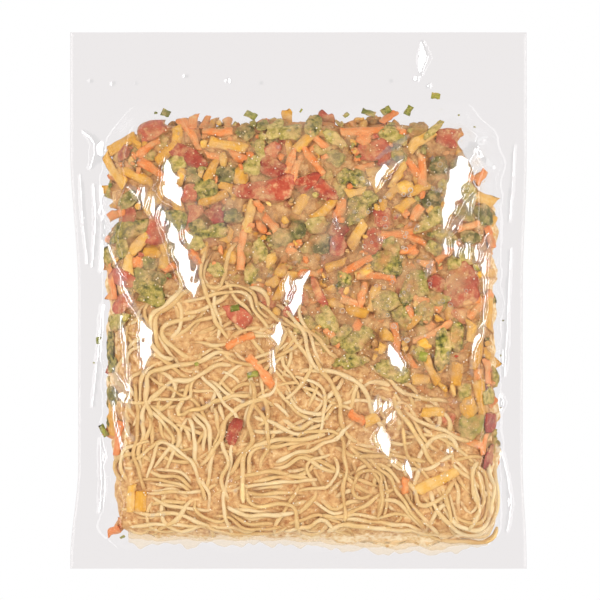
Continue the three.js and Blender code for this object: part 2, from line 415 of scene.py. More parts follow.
def foodFinish(name, look):
    material, tree = newMaterial(name)
    shader = tree.nodes.new("ShaderNodeBsdfPrincipled")
    setInputs(shader, Roughness=look["roughness"], IOR=flesh["ior"], Specular_IOR_Level=look["specular"])
    mottle = placeGroup(tree, shared["mottle"], Scale=look["patchScale"], Detail=flesh["detail"])
    patches = mottle.outputs["Patches"]
    streaks = placeGroup(tree, shared["fibre"], Fineness=look["fineness"]).outputs["Streaks"]
    value = mathNode(tree, "MULTIPLY", patches, look["patches"])
    value = mathNode(tree, "ADD", value, mathNode(tree, "MULTIPLY", streaks, look["streaks"]))
    tones = mathNode(tree, "MULTIPLY", attribute(tree, "tone", "Fac"), look["tones"])
    value = mathNode(tree, "ADD", value, tones)
    coated = placeGroup(tree, shared["sauceCoat"])
    tree.links.new(colourRamp(tree, value, look["colours"]), coated.inputs["Colour"])
    tree.links.new(coated.outputs["Colour"], shader.inputs["Base Color"])
    bump = setInputs(tree.nodes.new("ShaderNodeBump"), Strength=look["bump"], Distance=flesh["bumpDepth"])
    tree.links.new(mathNode(tree, "ADD", patches, streaks), bump.inputs["Height"])
    tree.links.new(bump.outputs["Normal"], shader.inputs["Normal"])
    showSurface(tree, shader.outputs["BSDF"])
    return material


def thinFinish(name, colour, tint, shown):
    # something so thin that most light goes through it; shown is a share or an attribute's name
    material, tree = newMaterial(name)
    clear = setInputs(tree.nodes.new("ShaderNodeBsdfTransparent"), Color=tint)
    skin = setInputs(tree.nodes.new("ShaderNodeBsdfPrincipled"), Base_Color=colour, Roughness=0.5)
    share = attribute(tree, shown, "Fac") if isinstance(shown, str) else shown
    showSurface(tree, mixShaders(tree, share, clear.outputs["BSDF"], skin.outputs["BSDF"]))
    return material


# Sauce: the body that everything else is sunk in

sauce = {
    "deep": (0.33, 0.13, 0.042),
    "dark": (0.51, 0.24, 0.082),
    "light": (0.75, 0.48, 0.20),
    "coat": (0.83, 0.56, 0.26),       # where it lies thin over the food
    "fat": (0.93, 0.76, 0.48),
    "overNoodles": 2.05,     # how far below the film its surface lies
    "overVegetables": 2.6,
    "underBack": (0.25, 1.5),  # how far above the back film its underside lies, at the edge and inside
    "thinnest": 0.3,
    "edge": (3, 9),          # distances from the filling's edge over which that changes
    "paintedGlowEdge": (2, 8),      # the same for its paler colour, which is painted light standing for the floor's light glowing through the thin sauce
    "footDrop": 3.4,         # how much further its foot reaches on the right
    "unevenness": (9, 0.4),  # length and height of its waves
    "grid": (110, 130),
    "headRoom": 4.5,         # how far vegetables may lie past its head
    # outline from the foot to the head: y, left x, right x
    "outline": ((-94.5, -66, 70), (-92.5, -69.5, 75.5), (-90, -71, 78.5), (-80, -72, 80), (-50, -75, 79.5),
                (-15, -76, 78.5), (15, -76.5, 78.5), (27, -75, 79), (30, -72, 79), (34, -70, 79.5),
                (37, -72, 79), (41, -75, 73), (45, -75.5, 70), (54, -75, 67), (59, -72, 66),
                (64, -65, 62), (67, -58, 53), (69, -50, 40)),
    "raggedness": (17, 0.6),  # length and reach of its outline's wander
    # paler skins where it thins out at the foot: how far they reach, how much of them shows
    "skins": ((1.4, 0.22), (3.4, 0.12)),
    "skinGrid": (180, 4),
    "skinX": (-68, 76),
    "skinUnder": 3,
    "skinColour": (0.92, 0.72, 0.42, 1),
    "skinTint": (0.998, 0.975, 0.93, 1),
    "skinHeights": (0.45, 0.35),   # share of the way from the back film to the front
    "skinHalf": 0.04,              # half their thickness
    # a cloudy smear of it on the inside of the film, over the vegetables
    "smearGrid": (120, 72),
    "smearX": (-76, 78),
    "smearPast": 6,                 # how far it fades out over the noodles
    "smear": (0.07, 0.09, 0.05),    # usual strength, then how much it varies over each length
    "smearLengths": (13, 4.5),
    "smearColour": (0.82, 0.57, 0.28, 1),
    "smearSheet": (0.08, 0.14),     # how far below the film its two faces lie
    "finish": {
        "patches": 1.5, "patchScale": 520.0, "streaks": 0.0, "fineness": 0.3, "tones": -0.36,
        "roughness": 0.4, "specular": 0.15, "bump": 0.25,
    },
}
sauce["finish"]["colours"] = (
    (0.34, *sauce["fat"]), (0.57, *sauce["light"]), (0.8, *sauce["dark"]), (1, *sauce["deep"]))

shared = {"mottle": mottleGroup(), "fibre": fibreGroup(), "sauceCoat": sauceCoatGroup()}


def wander(run, length, reach, seed):
    return reach * (ripple((run,), length, seed) + 0.35 * ripple((run,), length / 3, seed + 1))


def footLine(x):
    # where the sauce ends towards the foot
    rows, left, right = zip(*sauce["outline"][:4])
    edge = np.interp(x, left[::-1] + right, rows[::-1] + rows)
    return edge - sauce["footDrop"] * smoothStep(x, -10, 40) * (1 - 0.7 * smoothStep(x, 58, 76))


def sauceSheet(across, along):
    # places over the sauce's outline, row by row
    y, left, right = (np.array(part, float) for part in zip(*sauce["outline"]))
    rows = np.linspace(y[0], y[-1], along + 1)
    leftX = np.interp(rows, y, left) + wander(rows, *sauce["raggedness"], 41)
    rightX = np.interp(rows, y, right) + wander(rows, *sauce["raggedness"], 71)
    x = leftX[:, None] + (rightX - leftX)[:, None] * np.linspace(0, 1, across + 1)[None, :]
    middle = x[along // 2]
    nearEnds = (np.linspace(-1, 1, along + 1) ** 8)[:, None]
    nearFoot = (np.linspace(1, 0, along + 1) ** 8)[:, None]
    sag = wander(middle, *sauce["raggedness"], 91) * nearEnds + (footLine(middle) - y[0]) * nearFoot
    return x.ravel(), (rows[:, None] + np.minimum(sag, 1.5)).ravel()


def footStrip(past, across, along, seed):
    # places in a strip that runs out from under the sauce's foot
    x = np.linspace(*sauce["skinX"], across + 1)
    reach = past * (1 + 0.3 * wander(x, 15, 1, seed))
    share = np.linspace(0, 1, along + 1)[:, None]
    y = footLine(x) + sauce["skinUnder"] - share * (sauce["skinUnder"] + reach)
    return np.tile(x, along + 1), y.ravel()


def closedSheets(across, along, x, y, top, floor):
    # an upper and a lower sheet over the same places, joined round the rim
    verts = np.vstack([np.column_stack([x, y, top]), np.column_stack([x, y, floor])])
    row, half = across + 1, (across + 1) * (along + 1)
    faces = []
    for j in range(along):
        for i in range(across):
            a = j * row + i
            quad = [a, a + 1, a + row + 1, a + row]
            faces.append(quad)
            faces.append([half + corner for corner in quad[::-1]])
    rim = list(range(row)) + [j * row + across for j in range(1, along + 1)]
    rim += [along * row + i for i in range(across - 1, -1, -1)] + [j * row for j in range(along - 1, 0, -1)]
    for a, b in zip(rim, rim[1:] + rim[:1]):
        faces.append([b, a, half + a, half + b])
    return verts, faces


def makeSauce():
    across, along = sauce["grid"]
    x, y = sauceSheet(across, along)
    inside, upper = depthInFill(x, y), amongVegetables(x, y)
    length, height = sauce["unevenness"]
    below = blendBetween(sauce["overNoodles"], sauce["overVegetables"], upper)
    below = below + height * ripple((x, y), length, 5)
    floor = backHeight(x, y) + blendBetween(*sauce["underBack"], smoothStep(inside, *sauce["edge"]))
    top = np.maximum(pillowHeight(x, y) - below, floor + sauce["thinnest"])
    verts, faces = closedSheets(across, along, x, y, top, floor)
    # paler towards the filling's edge: the sauce is thin there, and the paler colour is also painted light,
    # standing for the floor's light glowing through it and lifting the shade at the rim
    thinAndPaintedGlow = np.tile(1 - smoothStep(inside, *sauce["paintedGlowEdge"]), 2)
    body = newPiece("sauce", verts, faces, foodFinish("sauce", sauce["finish"]), crisp=2 * (across + along),
                    tone=thinAndPaintedGlow - 0.25 * np.tile(upper, 2), haze=0.3 * (1 - thinAndPaintedGlow), grain=verts)
    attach(body, "root")
    across, along = sauce["skinGrid"]
    for number, (past, shown) in enumerate(sauce["skins"]):
        x, y = footStrip(past, across, along, 51 + number)
        low, high = backHeight(x, y), pillowHeight(x, y)
        middle = low + (high - low) * sauce["skinHeights"][number]
        half = sauce["skinHalf"]
        verts, faces = closedSheets(across, along, x, y, middle + half, middle - half)
        name = "sauceSkin" + str(number)
        finish = thinFinish(name, sauce["skinColour"], sauce["skinTint"], shown)
        piece = newPiece(name, verts, faces, finish, crisp=2 * (across + along))
        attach(piece, "root")


makeSauce()
print("sauce made")


# Layers: how far below the film the next thing to be laid comes to lie, kept on a fine grid

layerGrid = {
    "cell": 0.5, "x0": -93, "y0": -109, "columns": 373, "rows": 437,
    "seat": 0.85,   # share of the cells below a shape that it clears
    "room": 0.2,    # least gap to either film
    "press": 0.6,   # how much of its thickness a shape keeps under the next one
}


def newLayer(surface, way, gap):
    # way -1 fills downwards from the front film, 1 upwards from the back film
    return {"surface": surface, "way": way, "drop": np.full((layerGrid["rows"], layerGrid["columns"]), gap)}


frontLayer = newLayer(pillowHeight, -1, 0.25)
backLayer = newLayer(backHeight, 1, 0.35)


def cellsOf(x, y):
    column = np.clip(((x - layerGrid["x0"]) / layerGrid["cell"]).astype(int), 0, layerGrid["columns"] - 1)
    row = np.clip(((y - layerGrid["y0"]) / layerGrid["cell"]).astype(int), 0, layerGrid["rows"] - 1)
    return row, column


def heldInside(x, y, z, room):
    # keeps a height between the two sheets
    low = backHeight(x, y) + room
    return np.maximum(np.minimum(z, pillowHeight(x, y) - room), low)


def turned(points, x, y, turn):
    c, s = math.cos(turn), math.sin(turn)
    across, along = points[:, 0], points[:, 1]
    return np.column_stack([c * across - s * along + x, s * across + c * along + y])


def layDrop(foot, x, y, turn, layer):
    spots = turned(foot, x, y, turn)
    cells = cellsOf(*spots.T)
    return float(np.quantile(layer["drop"][cells], layerGrid["seat"])), cells


def lay(heap, shape, x, y, turn, layer=frontLayer):
    drop, cells = layDrop(shape["foot"], x, y, turn, layer)
    local = shape["verts"] if layer["way"] < 0 else shape["verts"] * (1, -1, -1)
    flat = turned(local, x, y, turn)
    z = layer["surface"](*flat.T) + layer["way"] * drop + local[:, 2]
    z = heldInside(flat[:, 0], flat[:, 1], z, layerGrid["room"])
    np.maximum.at(layer["drop"], cells, drop + layerGrid["press"] * shape["thick"])
    heap.add(np.column_stack([flat, z]), shape["faces"], shape["tone"], shape["verts"])


# Film: front and back sheet joined round the cut edge, with creases that rise off the food

film = {
    "grid": (264, 312),
    "coarse": 3,            # cells of the front to one of the back
    "slope": 0.43,          # of a crease's bright flank
    "lift": (0.22, 0.3),    # how far it stands off, by its width, on the food and more at the food's edge
    "swell": (34, 0.2),     # length and height of the slow waves
    "crumple": (8, 0.03),
    "puckers": (13, 1.3),   # length and reach of the wander of the filling's edge
    "mirror": 0.03,         # share of light mirrored head on
    "shine": 0.3,           # the same where a crease stands off the food
    "grazing": 0.6,         # more of it where the film is seen from its side
    "white": (1, 1, 1, 1),
    "tint": (0.933, 0.918, 0.918, 1),
    "roughness": 0.035,
    # bright flank that faces left (1) or right (-1), then x, y and its width along its middle
    "creases": (
        (-1, (-52, 56, 1), (-51, 50, 5), (-50, 44, 9), (-48, 40, 5), (-46, 37, 1)),
        (-1, (-66, 45, 1), (-59, 38, 3.6), (-53, 33, 4), (-50, 28, 5), (-48, 23, 5), (-45.5, 16, 6.2),
         (-43, 10, 7.4), (-41.5, 6, 6), (-41, 1, 0.8)),
        (-1, (-45, 29, 0.8), (-43.5, 25, 4.4), (-43, 22, 0.8)),
        (-1, (-41, 17, 0.8), (-40, 13, 1.6), (-41, 8, 0.8)),
        (-1, (-76.5, 25, 0.8), (-74.5, 19, 1.2), (-72, 14, 1), (-69.5, 9, 1.6), (-68.5, 5, 2.6),
         (-66, 0, 2.2), (-63, -5, 1.2), (-61, -9, 0.8)),
        (-1, (-70, -6, 0.8), (-69, -12, 2), (-68, -20, 1.6), (-67.5, -30, 1.6), (-66.5, -42, 0.8)),
        (-1, (-62, -7, 0.8), (-60.5, -12, 5.8), (-60, -20, 5), (-61, -28, 1)),
        (-1, (-73.5, -27, 0.8), (-71, -32, 3), (-69.5, -37, 5), (-69, -41, 0.8)),
        (-1, (-73.5, -40, 0.8), (-72.5, -48, 1.3), (-69.5, -58, 0.8)),
        (-1, (-69, -44, 0.6), (-67.3, -51, 1.3), (-64.8, -55, 0.8)),
        (1, (78, 65, 0.8), (72.5, 63, 2.6), (68, 60, 3.4), (65.2, 55.5, 5.4), (64, 51, 8), (62, 45, 8.2),
         (59.4, 38.5, 5.8), (58, 33, 3.8), (56.8, 27, 0.8)),
        (1, (68.5, 42, 0.8), (66.5, 38, 2.6), (67, 34, 0.8)),
        (1, (70, 59, 0.8), (74, 55, 2), (77.5, 53, 0.8)),
        (1, (64, 33, 0.8), (61.5, 29.5, 2.6), (59.5, 26, 0.8)),
        (1, (75.5, 27, 0.8), (73.5, 20, 3.6), (72.5, 15, 4.2), (73.8, 8.5, 2.2), (74, 0.5, 1.1),
         (73.4, -8, 1.2), (71, -14, 2.3), (69, -19, 1.6), (68, -25, 1), (68.3, -29, 0.8)),
        (1, (43, 64.5, 0.8), (38, 61, 2.2), (31, 56, 0.8)),
        (1, (41, 56.5, 0.8), (35, 53, 4.2), (32, 49, 3.6), (31, 44.5, 0.8)),
        (1, (14, 34, 0.6), (15, 31, 1.3), (15.8, 28, 0.6)),
        (1, (12.5, 25, 0.6), (13.3, 22.5, 1.3), (14.2, 20, 0.6)),
        (1, (52, 15.5, 0.6), (51, 12, 1.6), (50, 9, 0.6)),
        (-1, (4, 11.5, 0.8), (0, 6, 4), (-1.5, 2, 6.6), (-2, -2, 5), (-2, -6, 0.8)),
        (-1, (-4, 10, 0.8), (-4.5, 5, 4), (-4.5, 0, 0.8)),
        (-1, (-7, -8, 0.8), (-8.5, -13, 5), (-8, -18, 0.8)),
        (-1, (-10, -19, 0.8), (-10, -24, 1.9), (-9.5, -28, 0.8)),
        (1, (35.5, -16.5, 0.8), (37, -21, 4.6), (39.5, -25, 5.4), (41, -29, 0.8)),
        (1, (31, -37.5, 0.8), (30.5, -41, 3), (30, -44, 0.8)),
        (1, (35, -38.5, 0.8), (34, -41.5, 2.8), (33.5, -44, 0.8)),
        (1, (37, -43.5, 0.8), (36, -46, 2.2), (35, -48, 0.8)),
        (-1, (32, -50, 0.8), (32.5, -54, 5), (34, -58, 3.4), (35, -61, 0.8)),
        (-1, (42, -62, 0.8), (43, -66, 3), (44.5, -70, 0.8)),
        (-1, (-86, 68, 0.6), (-80, 63, 3), (-80, 58, 3.6), (-83, 53, 0.8)),
        (-1, (-87, 50, 0.6), (-86, 35, 1.1), (-84, 15, 0.6)),
        (-1, (-81.5, 46, 0.6), (-80.5, 33, 1.2), (-82, 14, 0.6)),
        (1, (-79, 45, 0.6), (-77.5, 29, 1), (-79, 12, 0.6)),
        (-1, (-78, -2, 0.6), (-79.5, -20, 1), (-82, -42, 0.6)),
        (-1, (-79, -56, 0.6), (-78, -62, 2.4), (-78.5, -67, 1), (-77.5, -75, 2), (-79, -84, 0.6)),
        (1, (86, 62, 0.5), (85, 46, 0.9), (84, 32, 0.5)),
        (1, (84.5, 20, 0.5), (83.5, 4, 0.9), (83, -12, 0.7), (82, -22, 1.8), (82, -30, 0.5)),
        (1, (80.5, -38, 0.6), (81, -41, 1.8), (80.5, -44, 0.6)),
        (1, (80, -58, 0.5), (83, -70, 0.8), (84.5, -82, 1.4), (83, -92, 0.5)),
        (1, (49.5, 104, 0.6), (50, 97, 3.6), (49, 91, 0.8)),
    ),
    # bright bands that run across, in short folds side by side: facing, ends, how tall
    "bands": ((1, (58, 21.5), (70, 18.5), 4.6), (-1, (-61, 40.5), (-53, 33), 6.5)),
    "fold": (1.8, 3.1, 3.3),   # width of a fold at its ends and middle, and how far it is to the next
    # small bright specks: x, y, radius
    "blisters": ((-83, 88, 0.8), (-74, 87, 0.9), (-65, 87, 0.7), (-45, 90, 0.9), (-28, 88, 1.1),
                 (-15, 87, 0.7), (37, 88, 0.7), (47, 89, 1.2), (52, 86, 1.0), (59, -59, 1.2),
                 (67, -40, 1.2), (37, -63, 1.1), (32, 24, 1.1), (27, 46, 0.9)),
    "glints": (70, (-70, 74), (-90, 68), (0.5, 0.75)),   # more, strewn over the food: how many, x, y, radius
    # soft grey veils where it doesn't cling: middle, reach, strength
    "veils": (((-29, 34), (6, 7), 0.55), ((13, 22), (5, 9), 0.4), ((32, 47), (8, 7), 0.4),
              ((-47, 30), (9, 16), 0.3), ((33, -50), (9, 14), 0.35), ((62, 45), (8, 14), 0.3)),
}


def layCrease(x, y, z, way, points):
    # a flat flank along the points, of one slope whatever lies below; also gives where it is
    places, widths = np.array(points)[:, :2], np.array(points)[:, 2]
    nearest = np.full(x.shape, np.inf)
    aside, width = np.zeros(x.shape), np.ones(x.shape)
    midX, midY = np.zeros(x.shape), np.zeros(x.shape)
    for start, end, wide, wideEnd in zip(places, places[1:], widths, widths[1:]):
        step = end - start
        along = np.clip(((x - start[0]) * step[0] + (y - start[1]) * step[1]) / (step @ step), 0, 1)
        atX, atY = start[0] + along * step[0], start[1] + along * step[1]
        away = np.hypot(x - atX, y - atY)
        closer = away < nearest
        right = np.sign((step[0] * (y - atY) - step[1] * (x - atX)) * -step[1])
        nearest = np.where(closer, away, nearest)
        aside = np.where(closer, right * away, aside)
        width = np.where(closer, wide + (wideEnd - wide) * along, width)
        midX, midY = np.where(closer, atX, midX), np.where(closer, atY, midY)
    half = width / 2 * (1 + 0.16 * ripple((x, y), 5, int(abs(places[0] @ (7, 1))), 6))
    shown = 1 - smoothStep(nearest, half, half + 0.7 + 0.2 * width)
    lift = film["lift"][0] + film["lift"][1] * (1 - smoothStep(depthInFill(midX, midY), 4, 12))
    flank = pillowHeight(midX, midY) + lift * width + way * film["slope"] * np.clip(aside, -half, half)
    return blendBetween(z, flank, shown), nearest < half + 0.25


def foldsOf(way, start, end, tall):
    narrow, wide, step = film["fold"]
    places = np.linspace(start, end, int(abs(end[0] - start[0]) / step) + 1)
    return [(way, (x, y + tall / 2, narrow), (x, y, wide), (x, y - tall / 2, narrow)) for x, y in places]


def strewnGlints():
    pick = np.random.default_rng(77)
    count, *ranges = film["glints"]
    return tuple(tuple(pick.uniform(*part) for part in ranges) for _ in range(count))


def filmFront(x, y):
    # height of the front sheet and where it shines
    length, reach = film["puckers"]
    outward = reach * np.maximum(0.8 + ripple((0.35 * x, y), length, 17, 5), 0)
    onFood = smoothStep(depthInFill(x, y), 0, 10)
    length, height = film["swell"]
    z = pillowHeight(x, y, outward) + height * onFood * ripple((x, y), length, 3)
    length, height = film["crumple"]
    z = z + height * blendBetween(0.25, 1, onFood) * ripple((x, y), length, 8, 10)
    shine = sum(cloud(x, y, veil) for veil in film["veils"])
    folds = [fold for band in film["bands"] for fold in foldsOf(*band)]
    for way, *points in list(film["creases"]) + folds:
        z, bright = layCrease(x, y, z, way, points)
        shine = np.maximum(shine, bright)
    for midX, midY, radius in film["blisters"] + strewnGlints():
        away = np.hypot(x - midX, y - midY) / radius
        tilted = film["slope"] * (radius + math.copysign(1, midX) * (x - midX))
        z = z + tilted * (1 - smoothStep(away, 0.9, 1.5))
        shine = np.maximum(shine, away < 1.05)
    return z, shine


def filmFinish():
    material, tree = newMaterial("film")
    clear = setInputs(tree.nodes.new("ShaderNodeBsdfTransparent"), Color=film["tint"])
    gloss = tree.nodes.new("ShaderNodeBsdfGlossy")
    setInputs(gloss, Color=film["white"], Roughness=film["roughness"])
    facing = setInputs(tree.nodes.new("ShaderNodeLayerWeight"), Blend=0.5)
    grazing = mathNode(tree, "POWER", facing.outputs["Facing"], 5.0)
    standing = mathNode(tree, "MULTIPLY", attribute(tree, "shine", "Fac"), film["shine"] - film["mirror"])
    headOn = mathNode(tree, "ADD", standing, film["mirror"])
    share = mathNode(tree, "ADD", mathNode(tree, "MULTIPLY", grazing, film["grazing"]), headOn)
    showSurface(tree, mixShaders(tree, share, clear.outputs["BSDF"], gloss.outputs["BSDF"]))
    return material


def backFaces(across, along, coarse, half):
    # the back in coarser cells, which keep all points of the front along the rim
    row = across + 1
    faces = []
    for j in range(0, along, coarse):
        for i in range(0, across, coarse):
            a = j * row + i
            foot = [a + k for k in range(coarse if j == 0 else 1)]
            right = [a + coarse + k * row for k in range(coarse if i + coarse == across else 1)]
            head = [a + coarse * row + coarse - k for k in range(coarse if j + coarse == along else 1)]
            left = [a + (coarse - k) * row for k in range(coarse if i == 0 else 1)]
            faces.append([half + corner for corner in (foot + right + head + left)[::-1]])
    return faces


def makeFilm():
    across, along = film["grid"]
    half = pouch["width"] / 2
    rows = np.linspace(-pouch["length"] / 2, pouch["length"] / 2, along + 1)
    drawnIn = waist(rows)
    share = np.linspace(0, 1, across + 1)
    left, right = -half + pouch["waistLeft"] * drawnIn, half - pouch["waistRight"] * drawnIn
    x = (left[:, None] + (right - left)[:, None] * share[None, :]).ravel()
    y = np.repeat(rows, across + 1)
    back = backHeight(x, y)
    front, shine = filmFront(x, y)
    verts, faces = closedSheets(across, along, x, y, np.maximum(front, back + 0.2), back)
    sheets = 2 * across * along
    faces = faces[:sheets:2] + backFaces(across, along, film["coarse"], len(x)) + faces[sheets:]
    used, renumbered = np.unique(np.concatenate(faces), return_inverse=True)
    renumbered = iter(renumbered.tolist())
    faces = [[next(renumbered) for _ in face] for face in faces]
    sheetPiece = newPiece("film", verts[used], faces, filmFinish(), crisp=2 * (across + along),
                          shine=np.concatenate([shine, 0 * shine])[used])
    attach(sheetPiece, "root")
    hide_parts("pouch")


makeFilm()
print("film made")


def makeSmear():
    # a thin closed sheet against the film, clear where its strength is 0
    across, along = sauce["smearGrid"]
    columns = np.linspace(*sauce["smearX"], across + 1)
    foot = noodleEdge(columns) - sauce["smearPast"]
    x = np.tile(columns, along + 1)
    y = (foot + (pouch["fillY"][1] - foot) * np.linspace(0, 1, along + 1)[:, None]).ravel()
    strength, *varied = sauce["smear"]
    for amount, length, seed in zip(varied, sauce["smearLengths"], (83, 84)):
        strength = strength + amount * ripple((x, y), length, seed, 9)
    strength = np.clip(strength, 0, 0.6) * smoothStep(y - noodleEdge(x), -sauce["smearPast"], 8)
    strength = 1 - np.sqrt(1 - strength * smoothStep(depthInFill(x, y), 4, 12))
    z = np.minimum(filmFront(x, y)[0], pillowHeight(x, y))
    upper, lower = sauce["smearSheet"]
    verts, faces = closedSheets(across, along, x, y, z - upper, z - lower)
    finish = thinFinish("sauceSmear", sauce["smearColour"], film["white"], "smear")
    piece = newPiece("sauceSmear", verts, faces, finish, crisp=2 * (across + along),
                     smear=np.tile(strength, 2))
    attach(piece, "root")


makeSmear()
print("smear made")


# Shapes of the vegetables: each has its top at z 0, and a foot of points for laying it

def footOf(length, width):
    cell = layerGrid["cell"]
    steps = [np.arange(-size / 2, size / 2 + cell / 2, cell) for size in (length, width)]
    return np.column_stack([part.ravel() for part in np.meshgrid(*steps)])


def uneven(verts, length, reach):
    seeds = draw.integers(1 << 30, size=3)
    return verts + reach * np.column_stack([ripple(tuple(verts.T), length, int(seed), 4) for seed in seeds])


def squarer(wave, power):
    # swells a round form towards a square one
    return np.sign(wave) * np.abs(wave) ** power


def cutStick(length, width, thick, tone):
    # a square-cut stick along X with soft edges, slightly bowed, its ends cut aslant
    stations, sides = 9, 12
    turn = np.arange(sides) * fullTurn / sides + fullTurn / sides / 2
    bow, twist, taper = draw.uniform(-0.06, 0.06) * length, draw.normal(0, 0.16), draw.uniform(-0.14, 0.14)
    slant = draw.normal(0, 0.3, 2)
    rings = []
    for share in np.concatenate([[-1, -0.96], np.linspace(-0.8, 0.8, stations - 4), [0.96, 1]]):
        swell = (1 + taper * share) * (0.82 if abs(share) == 1 else 1)
        y = squarer(np.cos(turn), 0.72) * width / 2 * swell
        z = squarer(np.sin(turn), 0.72) * thick / 2 * swell
        angle = twist * share
        y, z = y * math.cos(angle) - z * math.sin(angle), y * math.sin(angle) + z * math.cos(angle)
        x = share * length / 2 + (slant[0] if share > 0 else slant[1]) * y * abs(share)
        rings.append(np.column_stack([x, y + bow * (1 - share ** 2), z]))
    verts = uneven(np.vstack(rings), 4.2, 0.27)
    verts[:, 2] -= verts[:, 2].max()
    return {"verts": verts, "faces": ringFaces(stations, sides, True), "tone": tone, "thick": thick,
            "foot": footOf(length * 0.9, width * 0.8)}


balls = {level: icoBall(level) for level in (2, 3, 4)}


def softLump(length, width, thick, tone, level=3, roughness=0.2):
    # an uneven chunk with a flattened top
    verts, faces = balls[level]
    seed = newSeed()
    fine = ripple(tuple(verts.T), 0.7, seed + 1, 5)
    swell = 1 + roughness * (ripple(tuple(verts.T), 1.7, seed, 5) + 0.45 * fine)
    soft = squarer(verts, 0.8) * swell[:, None]
    shaped = soft * (length / 2, width / 2, thick / 2)
    shaped[:, 2] = np.minimum(shaped[:, 2], 0.36 * thick + 0.05 * shaped[:, 2])
    shaped[:, 2] -= shaped[:, 2].max()
    return {"verts": shaped, "faces": faces, "tone": tone, "thick": thick,
            "foot": footOf(length * 0.7, width * 0.7)}


def beadedCrown(length, width, thick, tone):
    # a floret's head: a dome of many small buds
    verts, faces = balls[4]
    buds = draw.normal(size=(70, 3))
    buds /= np.linalg.norm(buds, axis=1)[:, None]
    gap = np.sqrt(np.maximum(2 - 2 * (verts @ buds.T).max(1), 0))
    bead = np.clip(1 - (gap / 0.24) ** 2, 0, 1)
    seed = newSeed()
    lobes = ripple(tuple(verts.T), 1.3, seed, 5)
    shaped = verts * (1 + 0.13 * bead + 0.1 * lobes)[:, None] * (length / 2, width / 2, thick / 2)
    shaped[:, 2] = np.minimum(shaped[:, 2], 0.4 * thick + 0.1 * shaped[:, 2])
    shaped[:, 2] -= shaped[:, 2].max()
    return {"verts": shaped, "faces": faces, "tone": np.clip(tone * 0.5 + 0.4 * bead + 0.12 * lobes, 0, 1),
            "thick": thick, "foot": footOf(length * 0.75, width * 0.75)}


# Kinds of vegetable. Places given one by one: x, y, length (and width), turn in degrees; the rest are drawn

orangeCarrot = {
    "width": (2.8, 3.7), "length": (6, 15), "share": 0.23, "field": 61,
    "places": (
        (-43, 66, 15, -58), (-42, 71, 6, 88), (-32, 67, 12, 0), (-59, 60, 11, 38), (-3, 55, 10, 70),
        (25, 67, 17, 3), (36, 73, 8, 40), (14, 68, 12, -30), (49, 51, 12, 90), (6, 55, 14, -52),
        (39, 27, 18, 8), (45, 24, 12, -20), (53, -12, 17, 25), (25, 2, 10, 75), (-23, -16, 12, 25),
        (-15, -28, 15, -50), (23, -46, 7, -28), (-75, 8, 15, -78), (-22, 20, 16, 86), (-74, -92, 6, 30),
        (-71, -89, 6, 60), (-72, 34, 8, 15), (76, 25, 9, -70), (31, 68, 10, 20), (8, 63, 9, -40),
        (-1, 51, 9, 82), (4, 59, 11, 40), (75, -28, 10, -85), (20, 0, 7, -20), (72, 49, 7, 45),
        (-76, 15, 6, 85), (42, -73, 6, 88), (-51, 13, 6, 20), (-11, 30, 9, -50),
    ),
    "finish": {
        "colours": ((0.25, 0.62, 0.15, 0.03), (0.55, 0.80, 0.245, 0.058), (0.85, 0.87, 0.46, 0.21)),
        "patches": 0.5, "patchScale": 380.0, "streaks": 0.35, "fineness": 1.0, "tones": 0.25,
        "roughness": 0.45, "specular": 0.25, "bump": 0.3,
    },
}
yellowCarrot = {
    "width": (3.4, 4.8), "length": (6, 14), "share": 0.3, "field": 62,
    "places": (
        (-48, 65, 8, 88), (-28, 61, 16, -11), (-73, 52, 16, -56), (-70, 62, 13, 25), (-65, 49, 16, -22),
        (10, 36, 13, 43), (23, 26, 12, 60), (74, 40, 9, -15), (23, -4, 9, -5), (76, -5, 13, 88),
        (70, -21, 13, 80), (72, -39, 16, -80), (53, -44, 9, 0), (55, -71, 18, 27), (-66, -78, 11, 88),
        (-62, -79, 8, 86), (29, -47, 6, 20), (-74, -49, 10, 85), (22, 19, 9, 70), (-28, 26, 6, 60),
        (-34, 51, 10, 65), (-10, 31, 7, 75), (62, -29, 9, 85), (48, -31, 7, -5), (37, 43, 7, 55),
        (68, -12, 8, 85), (42, 38, 8, 40), (1, 38, 8, 60), (-44, 57, 8, -40), (-67, 15, 9, 88),
    ),
    "finish": {
        "colours": ((0.25, 0.56, 0.23, 0.025), (0.55, 0.75, 0.38, 0.045), (0.85, 0.84, 0.58, 0.22)),
        "patches": 0.5, "patchScale": 330.0, "streaks": 0.3, "fineness": 0.9, "tones": 0.3,
        "roughness": 0.45, "specular": 0.25, "bump": 0.3,
    },
}
redPepper = {
    "width": (5, 8), "length": (6, 12), "share": 0.1, "field": 63,
    "places": (
        (-57, 67, 14, 7, 25), (-43, 57, 12, 7, -30), (-12, 44, 23, 9, 6), (-10, 53, 7, 10, 60),
        (29, 59, 13, 7, 10), (59, 64, 10, 7, -10), (66, 6, 13, 14, 20), (8, 3, 13, 4, -62),
        (-23, -6, 12, 6, -35), (-25, -51, 10, 5, 70), (-67, 34, 6, 6, 0), (-56, 28, 12, 7, 85),
        (-41, 35, 7, 7, 0), (-70, -1, 8, 8, 10), (76, -62, 10, 4, 80), (3, 46, 10, 6, 30),
        (34, 56, 7, 4, 30),
    ),
    "finish": {
        "colours": ((0.25, 0.19, 0.026, 0.016), (0.5, 0.39, 0.06, 0.031), (0.8, 0.60, 0.15, 0.072)),
        "patches": 0.75, "patchScale": 260.0, "streaks": 0.1, "fineness": 0.8, "tones": 0.3,
        "roughness": 0.35, "specular": 0.3, "bump": 0.35,
    },
}
